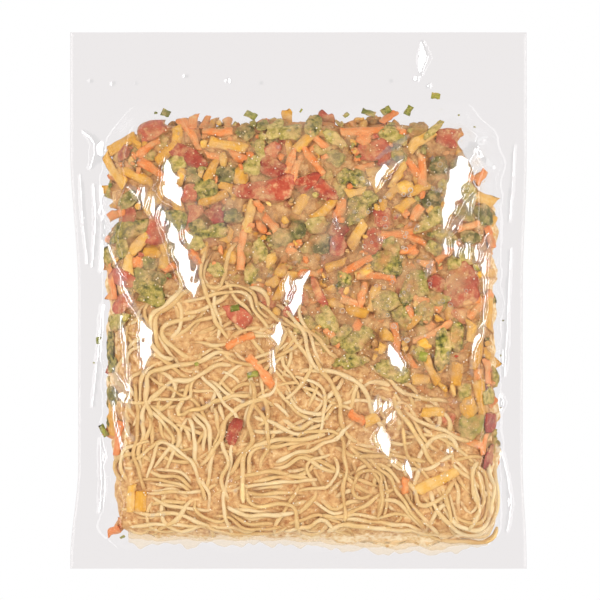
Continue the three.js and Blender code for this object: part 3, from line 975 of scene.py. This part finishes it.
broccoliCrown = {
    "width": (6, 8), "length": (7, 10), "share": 0.12, "field": 64,
    "places": (
        (-21, 67, 7, 7, 0), (-14, 69, 5, 5, 0), (-42, 49, 7, 6, 0), (-7, 25, 10, 8, 0),
        (55, 53, 8, 7, 0), (53, 40, 9, 7, 0), (67, -49, 13, 12, 0), (-26, 33, 8, 6, 0),
        (-62, 10, 7, 6, 0), (15, 56, 7, 6, 0), (-74, -38, 5, 7, 0), (-74, -26, 5, 6, 0),
        (9, 22, 9, 8, 0), (68, 25, 8, 6, 0), (-49, 20, 6, 6, 0), (5, 34, 8, 6, 0), (-59, 15, 6, 6, 0),
        (62, 0, 6, 6, 0),
    ),
    "finish": {
        "colours": ((0.2, 0.05, 0.05, 0.016), (0.5, 0.155, 0.138, 0.04), (0.85, 0.42, 0.345, 0.09)),
        "patches": 0.5, "patchScale": 420.0, "streaks": 0.1, "fineness": 1.5, "tones": 0.6,
        "roughness": 0.6, "specular": 0.15, "bump": 0.5,
    },
}
broccoliStem = {
    "width": (4.5, 8), "length": (6, 12), "share": 0.21, "field": 65,
    "places": (
        (-37, 44, 11, 7, 20), (-3, 66, 9, 7, 0), (-18, 53, 8, 8, 0), (-68, 27, 16, 7, 15),
        (-59, 3, 13, 8, -25), (10, 61, 9, 6, 20), (19, 49, 6, 6, 30), (54, 68, 9, 3, 45),
        (57, -19, 14, 6, 88), (-33, 27, 12, 5, 10), (34, 15, 13, 9, 5), (22, -16, 12, 8, 20),
        (12, -8, 11, 6, -50), (34, 0, 10, 8, 10), (44, 6, 12, 6, 60), (36, -27, 13, 8, -20),
        (-75, -18, 10, 3, 88), (59, 55, 9, 4, 10), (27, 40, 8, 6, 0), (50, -4, 8, 6, 50),
        (20, -24, 12, 6, 10),
    ),
    "finish": {
        "colours": ((0.52, 0.05, 0.055, 0.014), (0.64, 0.18, 0.16, 0.032),
                    (0.8, 0.385, 0.30, 0.06), (0.98, 0.62, 0.475, 0.155)),
        "patches": 1.2, "patchScale": 560.0, "streaks": 0.1, "fineness": 0.8, "tones": 0.25,
        "roughness": 0.5, "specular": 0.2, "bump": 0.3,
    },
}


def pickSize(sizes):
    return float(draw.uniform(*sizes))


def stickOf(kind, length=None):
    width = pickSize(kind["width"])
    if length is None and draw.uniform() < 0.35:
        chunk = draw.uniform(4, 8)
        return softLump(chunk, chunk * draw.uniform(0.5, 0.9), width * 0.8, draw.uniform(), 2, 0.26)
    length = length or pickSize(kind["length"])
    return cutStick(length, width, width * draw.uniform(0.75, 0.95), draw.uniform())


def lumpOf(kind, length=None, width=None):
    width = width or pickSize(kind["width"])
    length = length or pickSize(kind["length"])
    return softLump(length, width, min(width, length) * draw.uniform(0.4, 0.6), draw.uniform())


def crownOf(kind, length=None, width=None):
    width = width or pickSize(kind["width"])
    length = length or pickSize(kind["length"])
    return beadedCrown(length, width, min(width, length) * draw.uniform(0.55, 0.7), draw.uniform())


vegetables = {
    "redPepper": (redPepper, lumpOf, "red_pepper"),
    "orangeCarrot": (orangeCarrot, stickOf, "orange_carrot"),
    "yellowCarrot": (yellowCarrot, stickOf, "yellow_carrot"),
    "broccoliCrown": (broccoliCrown, crownOf, "broccoli"),
    "broccoliStem": (broccoliStem, lumpOf, "broccoli"),
}
heaps = {name: Heap() for name in vegetables}

# Chopped leek: thin green flakes on top of the food and caught in the margin. x, y, length, width, turn

leek = {
    "thick": 0.25,
    "places": (
        (-80, -16, 2.8, 2.4, 88), (-78, -52, 5.2, 2.6, -60), (55, 82, 3.6, 2.6, -10),
        (-19, 74, 5.0, 3.2, -30), (28, 75, 5.6, 2.6, -20), (35, 76, 4.2, 3.0, 30), (44, 76, 4.4, 2.8, 60),
        (-53, 75, 3.6, 3.2, -20), (-57, 75, 1.3, 1.1, 0), (-25, -3, 3.6, 2.5, 10),
        (-18, -29, 4.4, 2.6, 12), (49, -22, 3.2, 4.2, -15),
        (47, 10, 4.2, 4.0, 10), (19, 74, 2.6, 2.0, 40), (70, 69, 0.9, 0.7, 0), (82, -8, 0.7, 0.7, 0),
        (81, -22, 0.8, 0.8, 0), (81, -43, 0.7, 0.5, 0), (-82, -25, 0.8, 0.6, 0), (1, 76, 1.8, 0.8, 60),
        (-70, -94, 2.4, 1.2, 30), (-75, 46, 1.6, 1.6, 0), (-40, -25, 1.6, 1.4, 20), (64, 74, 0.8, 0.8, 0),
    ),
    "finish": {
        "colours": ((0.2, 0.075, 0.085, 0.01), (0.55, 0.19, 0.20, 0.02), (0.9, 0.48, 0.44, 0.08)),
        "patches": 0.4, "patchScale": 420.0, "streaks": 0.4, "fineness": 0.9, "tones": 0.35,
        "roughness": 0.4, "specular": 0.3, "bump": 0.25,
    },
}


def leekFlake(length, width):
    # a thin piece cut square across the leaf, slightly curled
    stations = 5
    share = np.linspace(-1, 1, stations)
    curl = draw.uniform(-0.08, 0.08) * length
    jag = draw.uniform(0.75, 1.1, (stations, 2))
    rows = []
    for s, (near, far) in zip(share, jag):
        for z in (0, -leek["thick"]):
            bend = curl * s * s
            rows += [(s * length / 2, -width / 2 * near, z + bend),
                     (s * length / 2, width / 2 * far, z + bend)]
    verts = np.array(rows)
    verts[:, 2] -= verts[:, 2].max()
    order = verts.reshape(stations, 4, 3)[:, [1, 0, 2, 3]].reshape(-1, 3)
    return {"verts": order, "faces": ringFaces(stations, 4, True), "tone": draw.uniform(0.1, 1),
            "thick": leek["thick"], "foot": footOf(length, width)}


def makeLeek():
    heap = Heap()
    for x, y, length, width, turn in leek["places"]:
        lay(heap, leekFlake(length, width), x, y, math.radians(turn))
    heap.piece("leek", foodFinish("leek", leek["finish"]), "leek")


makeLeek()
print("leek flakes laid")


def insideFood(x, y, room):
    rows, left, right = zip(*sauce["outline"])
    wide = (x > np.interp(y, rows, left) + room) & (x < np.interp(y, rows, right) - room)
    return wide & (y > rows[0] + room) & (y < rows[-1] - room + sauce["headRoom"])


def inNoodles(x, y):
    stripX, stripY = pouch["leftStrip"]
    return (y < noodleEdge(x)) & ~((x < stripX) & (y > stripY))


def layByHand():
    for name, (kind, shape, _) in vegetables.items():
        for x, y, *sizes, turn in kind["places"]:
            lay(heaps[name], shape(kind, *sizes), x, y, math.radians(turn))


def crumb():
    length = pickSize(vegetableFill["crumb"])
    width = length * draw.uniform(0.5, 1)
    return softLump(length, width, length * draw.uniform(0.4, 0.6), draw.uniform(), 2)


def fillWithVegetables(count, deepest, layer, crumbs):
    # each piece goes where, of a few drawn places, the film is least taken and its own kind lies
    names = list(vegetables)
    shares = np.array([vegetables[name][0]["share"] for name in names])
    left, right = pouch["fillX"]
    foot, head = pouch["fillY"]
    for _ in range(count):
        name = draw.choice(names, p=shares / shares.sum())
        kind, shape = vegetables[name][:2]
        made = crumb() if crumbs else shape(kind)
        best = None
        for _ in range(vegetableFill["tries"]):
            x, y, turn = draw.uniform(left, right), draw.uniform(foot, head), draw.uniform(0, fullTurn)
            if not insideFood(x, y, 3) or inNoodles(np.float64(x), np.float64(y)):
                continue
            drop = layDrop(made["foot"], x, y, turn, layer)[0]
            cost = drop - vegetableFill["likes"] * ripple((x, y), vegetableFill["patch"], kind["field"])
            if drop < deepest and (best is None or cost < best[0]):
                best = (cost, x, y, turn)
        if best:
            lay(heaps[name], made, *best[1:], layer)


vegetableFill = {
    # how many, how deep they may lie, under which film, and whether they are crumbs
    "rounds": ((1100, 2.6, frontLayer, False), (1500, 2.5, frontLayer, True), (330, 1.5, backLayer, False)),
    "crumb": (1.6, 4),   # length of a crumb
    "tries": 12,
    "likes": 0.7,        # how much a kind keeps together
    "patch": 24,         # and over what length
}

layByHand()


# Noodles: strands along listed routes first, in bundles, then drawn ones under them

noodles = {
    "radius": (0.68, 1.02),
    "flatness": 0.64,
    "sides": 6,
    "step": 1.8,
    "bundleGap": 2.15,
    "press": 0.5,            # how much of its height a strand keeps under the next one
    "tail": (6, 13),         # how far a listed route runs on at each end, under the others
    "wiggle": (18, 0.3),     # length and reach
    "kinks": (13, 0.24),
    "dive": (0.8, 2.2),      # how far an end sinks
    "diveLength": 9,
    "drawn": 440,
    "drawnLength": (30, 90),
    "drawnStep": 2.2,
    "tries": 4,              # routes drawn for each, of which the least covered is kept
    "tightest": 5.5,         # radius of the tightest drawn loop
    "turnBack": 0.75,        # chance of turning back at the noodles' edge, rather than ending there
    "deepest": 2.6,
    "backDrawn": 130,
    "home": (-2, -55),       # where drawn strands turn back to
    "lookAhead": 7,
    "curl": (0.03, 0.93, 0.022),   # bend at the start, share of it kept at each step, new bend
    "diving": 0.45,          # share of ends that sink
    # strands in the bundle, then the points of its middle line
    "routes": (
        (2, (-37, 14), (-38, 8), (-34, 1), (-32, -8)),
        (1, (-29, 13), (-28, 9), (-31, 5), (-36, 7)),
        (2, (-36, 2), (-25, 5), (-19, 2), (-17, -2)),
        (2, (-46, 3), (-52, -2), (-57, -7), (-57, -16), (-55, -20)),
        (2, (-61, -39), (-60, -29), (-52, -25), (-40, -23), (-33, -20)),
        (1, (-58, -38), (-51, -33), (-43, -31), (-35, -27)),
        (1, (-64, -40), (-53, -39), (-43, -38), (-42, -34)),
        (1, (-38, -29), (-31, -38), (-26, -43)),
        (3, (-62, -38), (-61, -50), (-63, -59), (-62, -67)),
        (1, (-42, -31), (-47, -44), (-42, -44), (-34, -40), (-28, -38)),
        (1, (-47, -8), (-52, -9), (-54, -12), (-52, -16), (-47, -20)),
        (2, (-36, -16), (-33, -17), (-28, -15), (-20, -13)),
        (1, (-20, -40), (-27, -45), (-30, -52), (-34, -60)),
        (1, (-18, -40), (-19, -47), (-19, -55), (-21, -60)),
        (1, (-15, -44), (-12, -49), (-12, -55), (-14, -61)),
        (2, (-29, -34), (-25, -38), (-18, -39), (-12, -36)),
        (1, (-57, -60), (-55, -56), (-51, -57), (-43, -62), (-40, -68)),
        (2, (0, -55), (-14, -57), (-20, -60), (-21, -69)),
        (1, (-64, -57), (-69, -59), (-70, -66), (-68, -71)),
        (1, (-57, -58), (-53, -55), (-48, -60), (-42, -64), (-39, -72)),
        (1, (-41, -55), (-40, -65), (-37, -73)),
        (1, (-31, -53), (-35, -63), (-35, -75)),
        (1, (-31, -53), (-28, -63), (-30, -70)),
        (1, (-26, -62), (-29, -73), (-29, -85)),
        (1, (-32, -76), (-40, -79), (-40, -83), (-36, -86), (-29, -86), (-29, -75)),
        (1, (-55, -76), (-40, -75), (-32, -76), (-25, -74)),
        (1, (-52, -88), (-46, -84), (-40, -77)),
        (1, (-59, -84), (-49, -84), (-40, -87), (-35, -89), (-34, -94)),
        (3, (-58, -68), (-48, -70), (-40, -75)),
        (3, (-59, -72), (-49, -73), (-40, -75)),
        (3, (-27, -73), (-19, -71), (-10, -70), (0, -69)),
        (2, (-27, -71), (-23, -69), (-16, -66), (-9, -67)),
        (1, (-22, -73), (-20, -78), (-16, -81), (-7, -80), (-2, -81), (-1, -86)),
        (3, (-28, -79), (-21, -83), (-10, -83)),
        (3, (-26, -84), (-20, -88), (-14, -88)),
        (1, (-10, -93), (-8, -87), (-4, -81)),
        (1, (8, -51), (14, -52), (18, -57), (18, -78)),
        (2, (1, -58), (7, -57), (13, -54), (17, -51)),
        (3, (19, -57), (25, -59), (34, -60), (39, -62)),
        (1, (14, -62), (15, -68), (12, -73), (7, -74)),
        (1, (5, -70), (4, -66), (6, -62), (14, -60)),
        (1, (21, -73), (23, -68), (28, -67), (32, -69), (33, -75)),
        (2, (25, -62), (31, -66), (33, -73), (34, -79)),
        (2, (32, -66), (38, -70), (42, -79), (49, -87)),
        (5, (57, -75), (60, -82), (66, -88), (72, -87), (75, -80), (74, -70)),
        (1, (68, -72), (71, -81), (70, -86)),
        (1, (46, -75), (48, -80), (54, -80), (59, -75)),
        (3, (60, -75), (61, -83), (65, -92)),
        (3, (42, -80), (49, -87), (58, -94)),
        (1, (19, -85), (31, -85), (39, -84), (47, -87)),
        (2, (20, -87), (34, -89), (44, -90), (54, -92)),
        (2, (53, -94), (64, -95), (75, -95), (78, -90)),
        (1, (22, -83), (29, -79), (38, -73)),
        (1, (0, -70), (5, -71), (7, -77), (2, -82), (-3, -84)),
        (1, (42, -57), (45, -64), (53, -71)),
        (2, (-1, -6), (4, -15), (6, -23)),
        (1, (3, -12), (8, -15), (12, -20)),
        (1, (-1, -17), (5, -24), (4, -29), (0, -34)),
        (1, (8, -27), (14, -33), (16, -41), (17, -49)),
        (1, (11, -28), (18, -29), (25, -34), (29, -44)),
        (1, (37, -32), (42, -37), (47, -38)),
        (1, (19, -26), (23, -21), (24, -17)),
        (1, (7, -33), (10, -36), (10, -44)),
        (2, (42, -45), (45, -49), (48, -54)),
        (1, (47, -47), (53, -50), (59, -52)),
        (2, (-7, -20), (-11, -26), (-14, -34), (-11, -41)),
        (2, (-28, -20), (-21, -24), (-14, -23), (-7, -20)),
        (2, (-51, -23), (-46, -28), (-37, -28), (-30, -24)),
        (2, (-5, -38), (1, -44), (8, -46), (13, -42)),
        (2, (-7, -49), (-1, -51), (5, -49)),
        (2, (-56, -44), (-51, -49), (-48, -55), (-51, -61)),
        (2, (-40, -46), (-36, -50), (-36, -57)),
        (2, (-5, -64), (1, -61), (8, -64)),
        (2, (-51, -80), (-44, -81), (-36, -81)),
        (2, (-18, -75), (-12, -75), (-5, -74), (1, -75)),
        (2, (8, -79), (14, -83), (21, -81)),
        (2, (1, -88), (9, -86), (18, -90)),
        (1, (34, -60), (39, -65), (48, -67), (56, -64)),
        (2, (56, -83), (53, -89), (48, -94)),
        (2, (-32, -90), (-21, -92), (-12, -90)),
    ),
    "finish": {
        "colours": ((0.15, 0.55, 0.30, 0.095), (0.5, 0.725, 0.495, 0.21), (0.85, 0.82, 0.65, 0.37)),
        "patches": 0.5, "patchScale": 300.0, "streaks": 0.2, "fineness": 1.2, "tones": 0.45,
        "roughness": 0.5, "specular": 0.2, "bump": 0.15,
    },
}


def runOf(route):
    return np.concatenate([[0], np.cumsum(np.linalg.norm(np.diff(route, axis=0), axis=1))])


def evenly(route, step):
    run = runOf(route)
    at = np.linspace(0, run[-1], max(6, int(run[-1] / step) + 1))
    return np.column_stack([np.interp(at, run, part) for part in route.T])


def curveThrough(points):
    points = np.array(points, float)
    padded = np.vstack([2 * points[0] - points[1], points, 2 * points[-1] - points[-2]])
    t = np.linspace(0, 1, 24, endpoint=False)[:, None]
    spans = []
    for before, start, end, after in zip(padded, padded[1:], padded[2:], padded[3:]):
        square, cube = 2 * before - 5 * start + 4 * end - after, 3 * start - before - 3 * end + after
        spans.append(0.5 * (2 * start + (end - before) * t + square * t ** 2 + cube * t ** 3))
    return evenly(np.vstack(spans + [points[-1:]]), noodles["step"])


def withTails(route):
    # runs both ends on, curling away
    ends = []
    for end, before in ((route[0], route[2]), (route[-1], route[-3])):
        heading = math.atan2(*(end - before)[::-1])
        bend = draw.normal(0, 0.07)
        place, tail = end, []
        for _ in range(int(pickSize(noodles["tail"]) / noodles["step"])):
            heading += bend * noodles["step"]
            place = place + noodles["step"] * np.array([math.cos(heading), math.sin(heading)])
            if not insideFood(*place, 0.5):
                break
            tail.append(place)
        ends.append(np.array(tail).reshape(-1, 2))
    return np.vstack([ends[0][::-1], route, ends[1]])


def sideways(route):
    along = np.gradient(route, axis=0)
    along /= np.linalg.norm(along, axis=1)[:, None] + 1e-9
    return np.column_stack([-along[:, 1], along[:, 0]])


def runningMean(values, reach):
    padded = np.pad(values, reach, mode="edge")
    return np.convolve(padded, np.ones(2 * reach + 1) / (2 * reach + 1), mode="valid")


# cells round a point of a strand that it takes up
stampReach = np.arange(-2, 3) * layerGrid["cell"]
stampX, stampY = (part.ravel() for part in np.meshgrid(stampReach, stampReach))


def layStrand(heap, route, layer, deepest, dives):
    radius = pickSize(noodles["radius"])
    length, reach = noodles["kinks"]
    run = runOf(route)
    route = route + sideways(route) * reach * ripple((run,), length, newSeed(), 4)[:, None]
    spots = route[:, None, :] + np.column_stack([stampX, stampY])[None, :, :]
    cells = cellsOf(spots[..., 0], spots[..., 1])
    drop = runningMean(np.quantile(layer["drop"][cells], 0.7, axis=1), 2)
    for dive, fromEnd in zip(dives, (run, run[-1] - run)):
        drop = drop + dive * (1 - smoothStep(fromEnd, 0, noodles["diveLength"]))
    if np.median(drop) > deepest:
        return
    tall = 2 * radius * noodles["flatness"]
    taken = drop + noodles["press"] * tall
    np.maximum.at(layer["drop"], cells, np.repeat(taken[:, None], len(stampX), 1))
    z = layer["surface"](*route.T) + layer["way"] * (drop + tall / 2)
    z = runningMean(heldInside(route[:, 0], route[:, 1], z, tall / 2 + 0.15), 1)
    path = np.column_stack([route, z])
    along = np.gradient(path, axis=0)
    along /= np.linalg.norm(along, axis=1)[:, None]
    across = np.cross(along, (0, 0, 1))
    across /= np.linalg.norm(across, axis=1)[:, None]
    up = np.cross(across, along)
    turn = np.arange(noodles["sides"]) * fullTurn / noodles["sides"]
    swell = 1 + 0.1 * ripple((run,), 11, newSeed(), 4)
    swell[[0, -1]] *= 0.55
    girth = (radius * swell)[:, None, None]
    wide = girth * np.cos(turn)[None, :, None] * across[:, None, :]
    high = girth * noodles["flatness"] * np.sin(turn)[None, :, None] * up[:, None, :]
    verts = (path[:, None, :] + wide + high).reshape(-1, 3)
    runs = np.repeat(run, len(turn))
    grain = np.column_stack([runs, np.tile(np.cos(turn), len(run)), np.tile(np.sin(turn), len(run))])
    tone = draw.uniform() + 0.15 * ripple((runs,), 20, newSeed(), 3)
    tops = np.repeat(path + (0, 0, tall / 2), len(turn), axis=0)
    heap.add(verts, ringFaces(len(run), len(turn), False), np.clip(tone, 0, 1), grain, tops)


def wandering():
    # a drawn strand that curls about and turns back at the noodles' edge
    left, right = pouch["fillX"]
    foot, head = pouch["fillY"]
    while True:
        place = np.array([draw.uniform(left, right), draw.uniform(foot, head)])
        if inNoodles(*place) and insideFood(*place, 2):
            break
    firstBend, keptBend, newBend = noodles["curl"]
    heading, bend = draw.uniform(0, fullTurn), draw.normal(0, firstBend)
    step = noodles["drawnStep"]
    steps = int(pickSize(noodles["drawnLength"]) / step)
    route = [place]
    most = 1 / noodles["tightest"]
    for _ in range(steps):
        bend = np.clip(keptBend * bend + draw.normal(0, newBend), -most, most)
        ahead = place + noodles["lookAhead"] * np.array([math.cos(heading), math.sin(heading)])
        if not insideFood(*ahead, 1) or not inNoodles(*ahead):
            if draw.uniform() > noodles["turnBack"]:
                break
            home = noodles["home"] - place
            turnHome = math.sin(math.atan2(home[1], home[0]) - heading)
            bend = math.copysign(most, turnHome)
        heading += bend * step
        place = place + step * np.array([math.cos(heading), math.sin(heading)])
        if not insideFood(*place, 0.3):
            break
        route.append(place)
    return np.array(route)


def endDives():
    return [pickSize(noodles["dive"]) if draw.uniform() < noodles["diving"] else 0 for _ in range(2)]


def layDrawn(heap, count, layer):
    for _ in range(count):
        routes = [route for route in (wandering() for _ in range(noodles["tries"])) if len(route) > 10]
        if routes:
            cover = [layer["drop"][cellsOf(*route.T)].mean() for route in routes]
            layStrand(heap, routes[int(np.argmin(cover))], layer, noodles["deepest"], endDives())


def makeNoodles():
    heap = Heap()
    bundles = []
    length, reach = noodles["wiggle"]
    for count, *points in noodles["routes"]:
        middle = curveThrough(points)
        side = sideways(middle)
        run = np.arange(len(middle)) * noodles["step"]
        fan = np.linspace(*draw.uniform(0.7, 1.25, 2), len(middle))[:, None]
        for strand in range(count):
            offset = (strand - (count - 1) / 2) * noodles["bundleGap"] * fan
            sway = reach * ripple((run,), length, newSeed(), 4)
            bundles.append((strand, middle + side * (offset + sway[:, None])))
    for _, route in sorted(bundles, key=lambda pair: pair[0]):
        layStrand(heap, withTails(evenly(route, noodles["step"])), frontLayer, 9, endDives())
    print("noodles laid by hand:", len(bundles))
    layDrawn(heap, noodles["drawn"], frontLayer)
    layDrawn(heap, noodles["backDrawn"], backLayer)
    heap.piece("noodles", foodFinish("noodles", noodles["finish"]), "noodles")
    print("noodle faces:", len(heap.faces))


makeNoodles()
for fillRound in vegetableFill["rounds"]:
    fillWithVegetables(*fillRound)
for name, (kind, shape, slot) in vegetables.items():
    heaps[name].piece(name, foodFinish(name, kind["finish"]), slot)
    print(name, "faces:", len(heaps[name].faces))


# Air bubbles under the film, over the vegetables on the right, drawn only as pale rings: painted highlights
# of their rims

# the rings' pale colour and the share of it shown are a painted highlight of the bubbles' rims
bubbles = {"count": 60, "radius": (0.35, 0.95), "middle": (44, 20), "reach": (15, 22), "rim": 0.11,
           "colour": (0.97, 0.9, 0.78, 1), "shown": 0.4}


def makeBubbles():
    # each shows as its rim, a thin pale ring against the film: a painted highlight for the light its edge
    # catches
    verts, faces = [], []
    around, sides = 16, 5
    turn = np.repeat(np.arange(around) * fullTurn / around, sides)
    roll = np.tile(np.arange(sides) * fullTurn / sides, around)
    ring = []
    for i in range(around):
        for j in range(sides):
            i2, j2 = (i + 1) % around, (j + 1) % sides
            ring.append([i * sides + j, i2 * sides + j, i2 * sides + j2, i * sides + j2])
    for _ in range(bubbles["count"]):
        x, y = draw.normal(bubbles["middle"], bubbles["reach"])
        if depthInFill(x, y) < 6 or inNoodles(np.float64(x), np.float64(y)):
            continue
        reach = pickSize(bubbles["radius"]) + bubbles["rim"] * np.cos(roll)
        z = float(pillowHeight(x, y)) - 0.2 + bubbles["rim"] * np.sin(roll)
        faces += [[corner + len(verts) * around * sides for corner in face] for face in ring]
        verts.append(np.column_stack([x + reach * np.cos(turn), y + reach * np.sin(turn), z]))
    finish = thinFinish("bubbleRimHighlight", bubbles["colour"], film["white"], bubbles["shown"])
    piece = newPiece("bubbleRimHighlights", np.vstack(verts), faces, finish)
    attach(piece, "root")


makeBubbles()
print("bubbles made")


# Small drops of fat against the film, most of them on the right

droplets = {
    "count": 3400, "radius": (0.12, 0.36), "sides": 7, "elsewhere": 0.45,
    "finish": {
        "colours": ((0.2, 0.86, 0.62, 0.34), (0.5, 0.94, 0.78, 0.52), (0.8, 0.98, 0.90, 0.74)),
        "patches": 0.4, "patchScale": 500.0, "streaks": 0.0, "fineness": 1.0, "tones": 0.6,
        "roughness": 0.25, "specular": 0.4, "bump": 0.1,
    },
}


def makeDroplets():
    # flat lenses: a ring with a point above it and one below
    pick = np.random.default_rng(29)
    sides = droplets["sides"]
    turn = np.arange(sides) * fullTurn / sides
    lens = np.vstack([np.column_stack([np.cos(turn), np.sin(turn), 0 * turn]), (0, 0, 0.25), (0, 0, -0.7)])
    faces = [[j, (j + 1) % sides, sides] for j in range(sides)]
    faces += [[(j + 1) % sides, j, sides + 1] for j in range(sides)]
    x, y = (pick.uniform(*pouch[side], droplets["count"]) for side in ("fillX", "fillY"))
    cloudy = cloud(x, y, haze["right"]) / haze["right"][2]
    chance = blendBetween(droplets["elsewhere"], 1, cloudy)
    kept = (depthInFill(x, y) > 7) & (pick.uniform(size=x.size) < chance)
    z, shine = filmFront(x[kept], y[kept])
    heap = Heap()
    for place in np.column_stack([x[kept], y[kept], z - 0.12])[shine < 0.9]:
        verts = lens * pick.uniform(*droplets["radius"]) + place
        heap.add(verts, faces, pick.uniform(), verts)
    piece = heap.piece("fatDroplets", foodFinish("fatDroplet", droplets["finish"]), "sauce")
    piece.data.attributes["haze"].data.foreach_set("value", np.zeros(heap.count, np.float32))
    print("drops of fat:", heap.count // len(lens))


makeDroplets()


# Floor, light and camera

studio = {
    "floorSize": 8,
    "floorDrop": 0.0003,   # below the pouch
    "floorGlow": 1.0,
    "fill": ((0.0, 0.55), (0.75, 0.5), (0.97, 0.5)),   # strength by height in the sky, 1 straight up
    "boxDistance": 1.05,
    "boxZenith": 46,      # degrees from straight up
    "boxSize": (0.62, 2.0),
    "boxPower": 12.6,
    "cameraHeight": 0.6667,
    "marginAt": 0.002,
    "lens": 100,
    "aim": (0.0006, 0.0002),
}


def makeStudio():
    bpy.ops.mesh.primitive_plane_add(size=studio["floorSize"], location=(0, 0, -studio["floorDrop"]))
    floor = bpy.context.object
    floor.name = "floor"
    material, tree = newMaterial("paleFloor")
    glow = setInputs(tree.nodes.new("ShaderNodeEmission"), Color=(1, 1, 1, 1), Strength=studio["floorGlow"])
    showSurface(tree, glow.outputs["Emission"])
    floor.data.materials.append(material)

    zenith = math.radians(studio["boxZenith"])
    for name, way in (("leftBox", -1), ("rightBox", 1)):
        light = bpy.data.lights.new(name, "AREA")
        light.shape = "RECTANGLE"
        light.size, light.size_y = studio["boxSize"]
        light.energy = studio["boxPower"]
        box = bpy.data.objects.new(name, light)
        aside, up = studio["boxDistance"] * math.sin(zenith), studio["boxDistance"] * math.cos(zenith)
        box.location = (way * aside, 0, up)
        box.rotation_euler = (0, way * zenith, 0)
        box.visible_camera = False
        bpy.context.scene.collection.objects.link(box)

    world = bpy.data.worlds.new("studio")
    world.use_nodes = True
    tree = world.node_tree
    tree.nodes.clear()
    seen = setInputs(tree.nodes.new("ShaderNodeBackground"), Color=(1, 1, 1, 1), Strength=1.0)
    fill = setInputs(tree.nodes.new("ShaderNodeBackground"), Strength=1.0)
    height = tree.nodes.new("ShaderNodeSeparateXYZ")
    tree.links.new(tree.nodes.new("ShaderNodeTexCoord").outputs["Generated"], height.inputs[0])
    stops = [(at, strength, strength, strength) for at, strength in studio["fill"]]
    tree.links.new(colourRamp(tree, height.outputs["Z"], stops), fill.inputs["Color"])
    seenByCamera = tree.nodes.new("ShaderNodeLightPath").outputs["Is Camera Ray"]
    sky = mixShaders(tree, seenByCamera, fill.outputs["Background"], seen.outputs["Background"])
    showSurface(tree, sky, "World")
    bpy.context.scene.world = world
    bpy.context.scene.view_settings.view_transform = "Standard"

    lens = bpy.data.cameras.new("camera")
    lens.lens = studio["lens"]
    lens.sensor_width = 36
    camera = bpy.data.objects.new("camera", lens)
    camera.location = (*studio["aim"], studio["cameraHeight"] + studio["marginAt"])
    bpy.context.scene.collection.objects.link(camera)
    bpy.context.scene.camera = camera


makeStudio()
print("studio set")
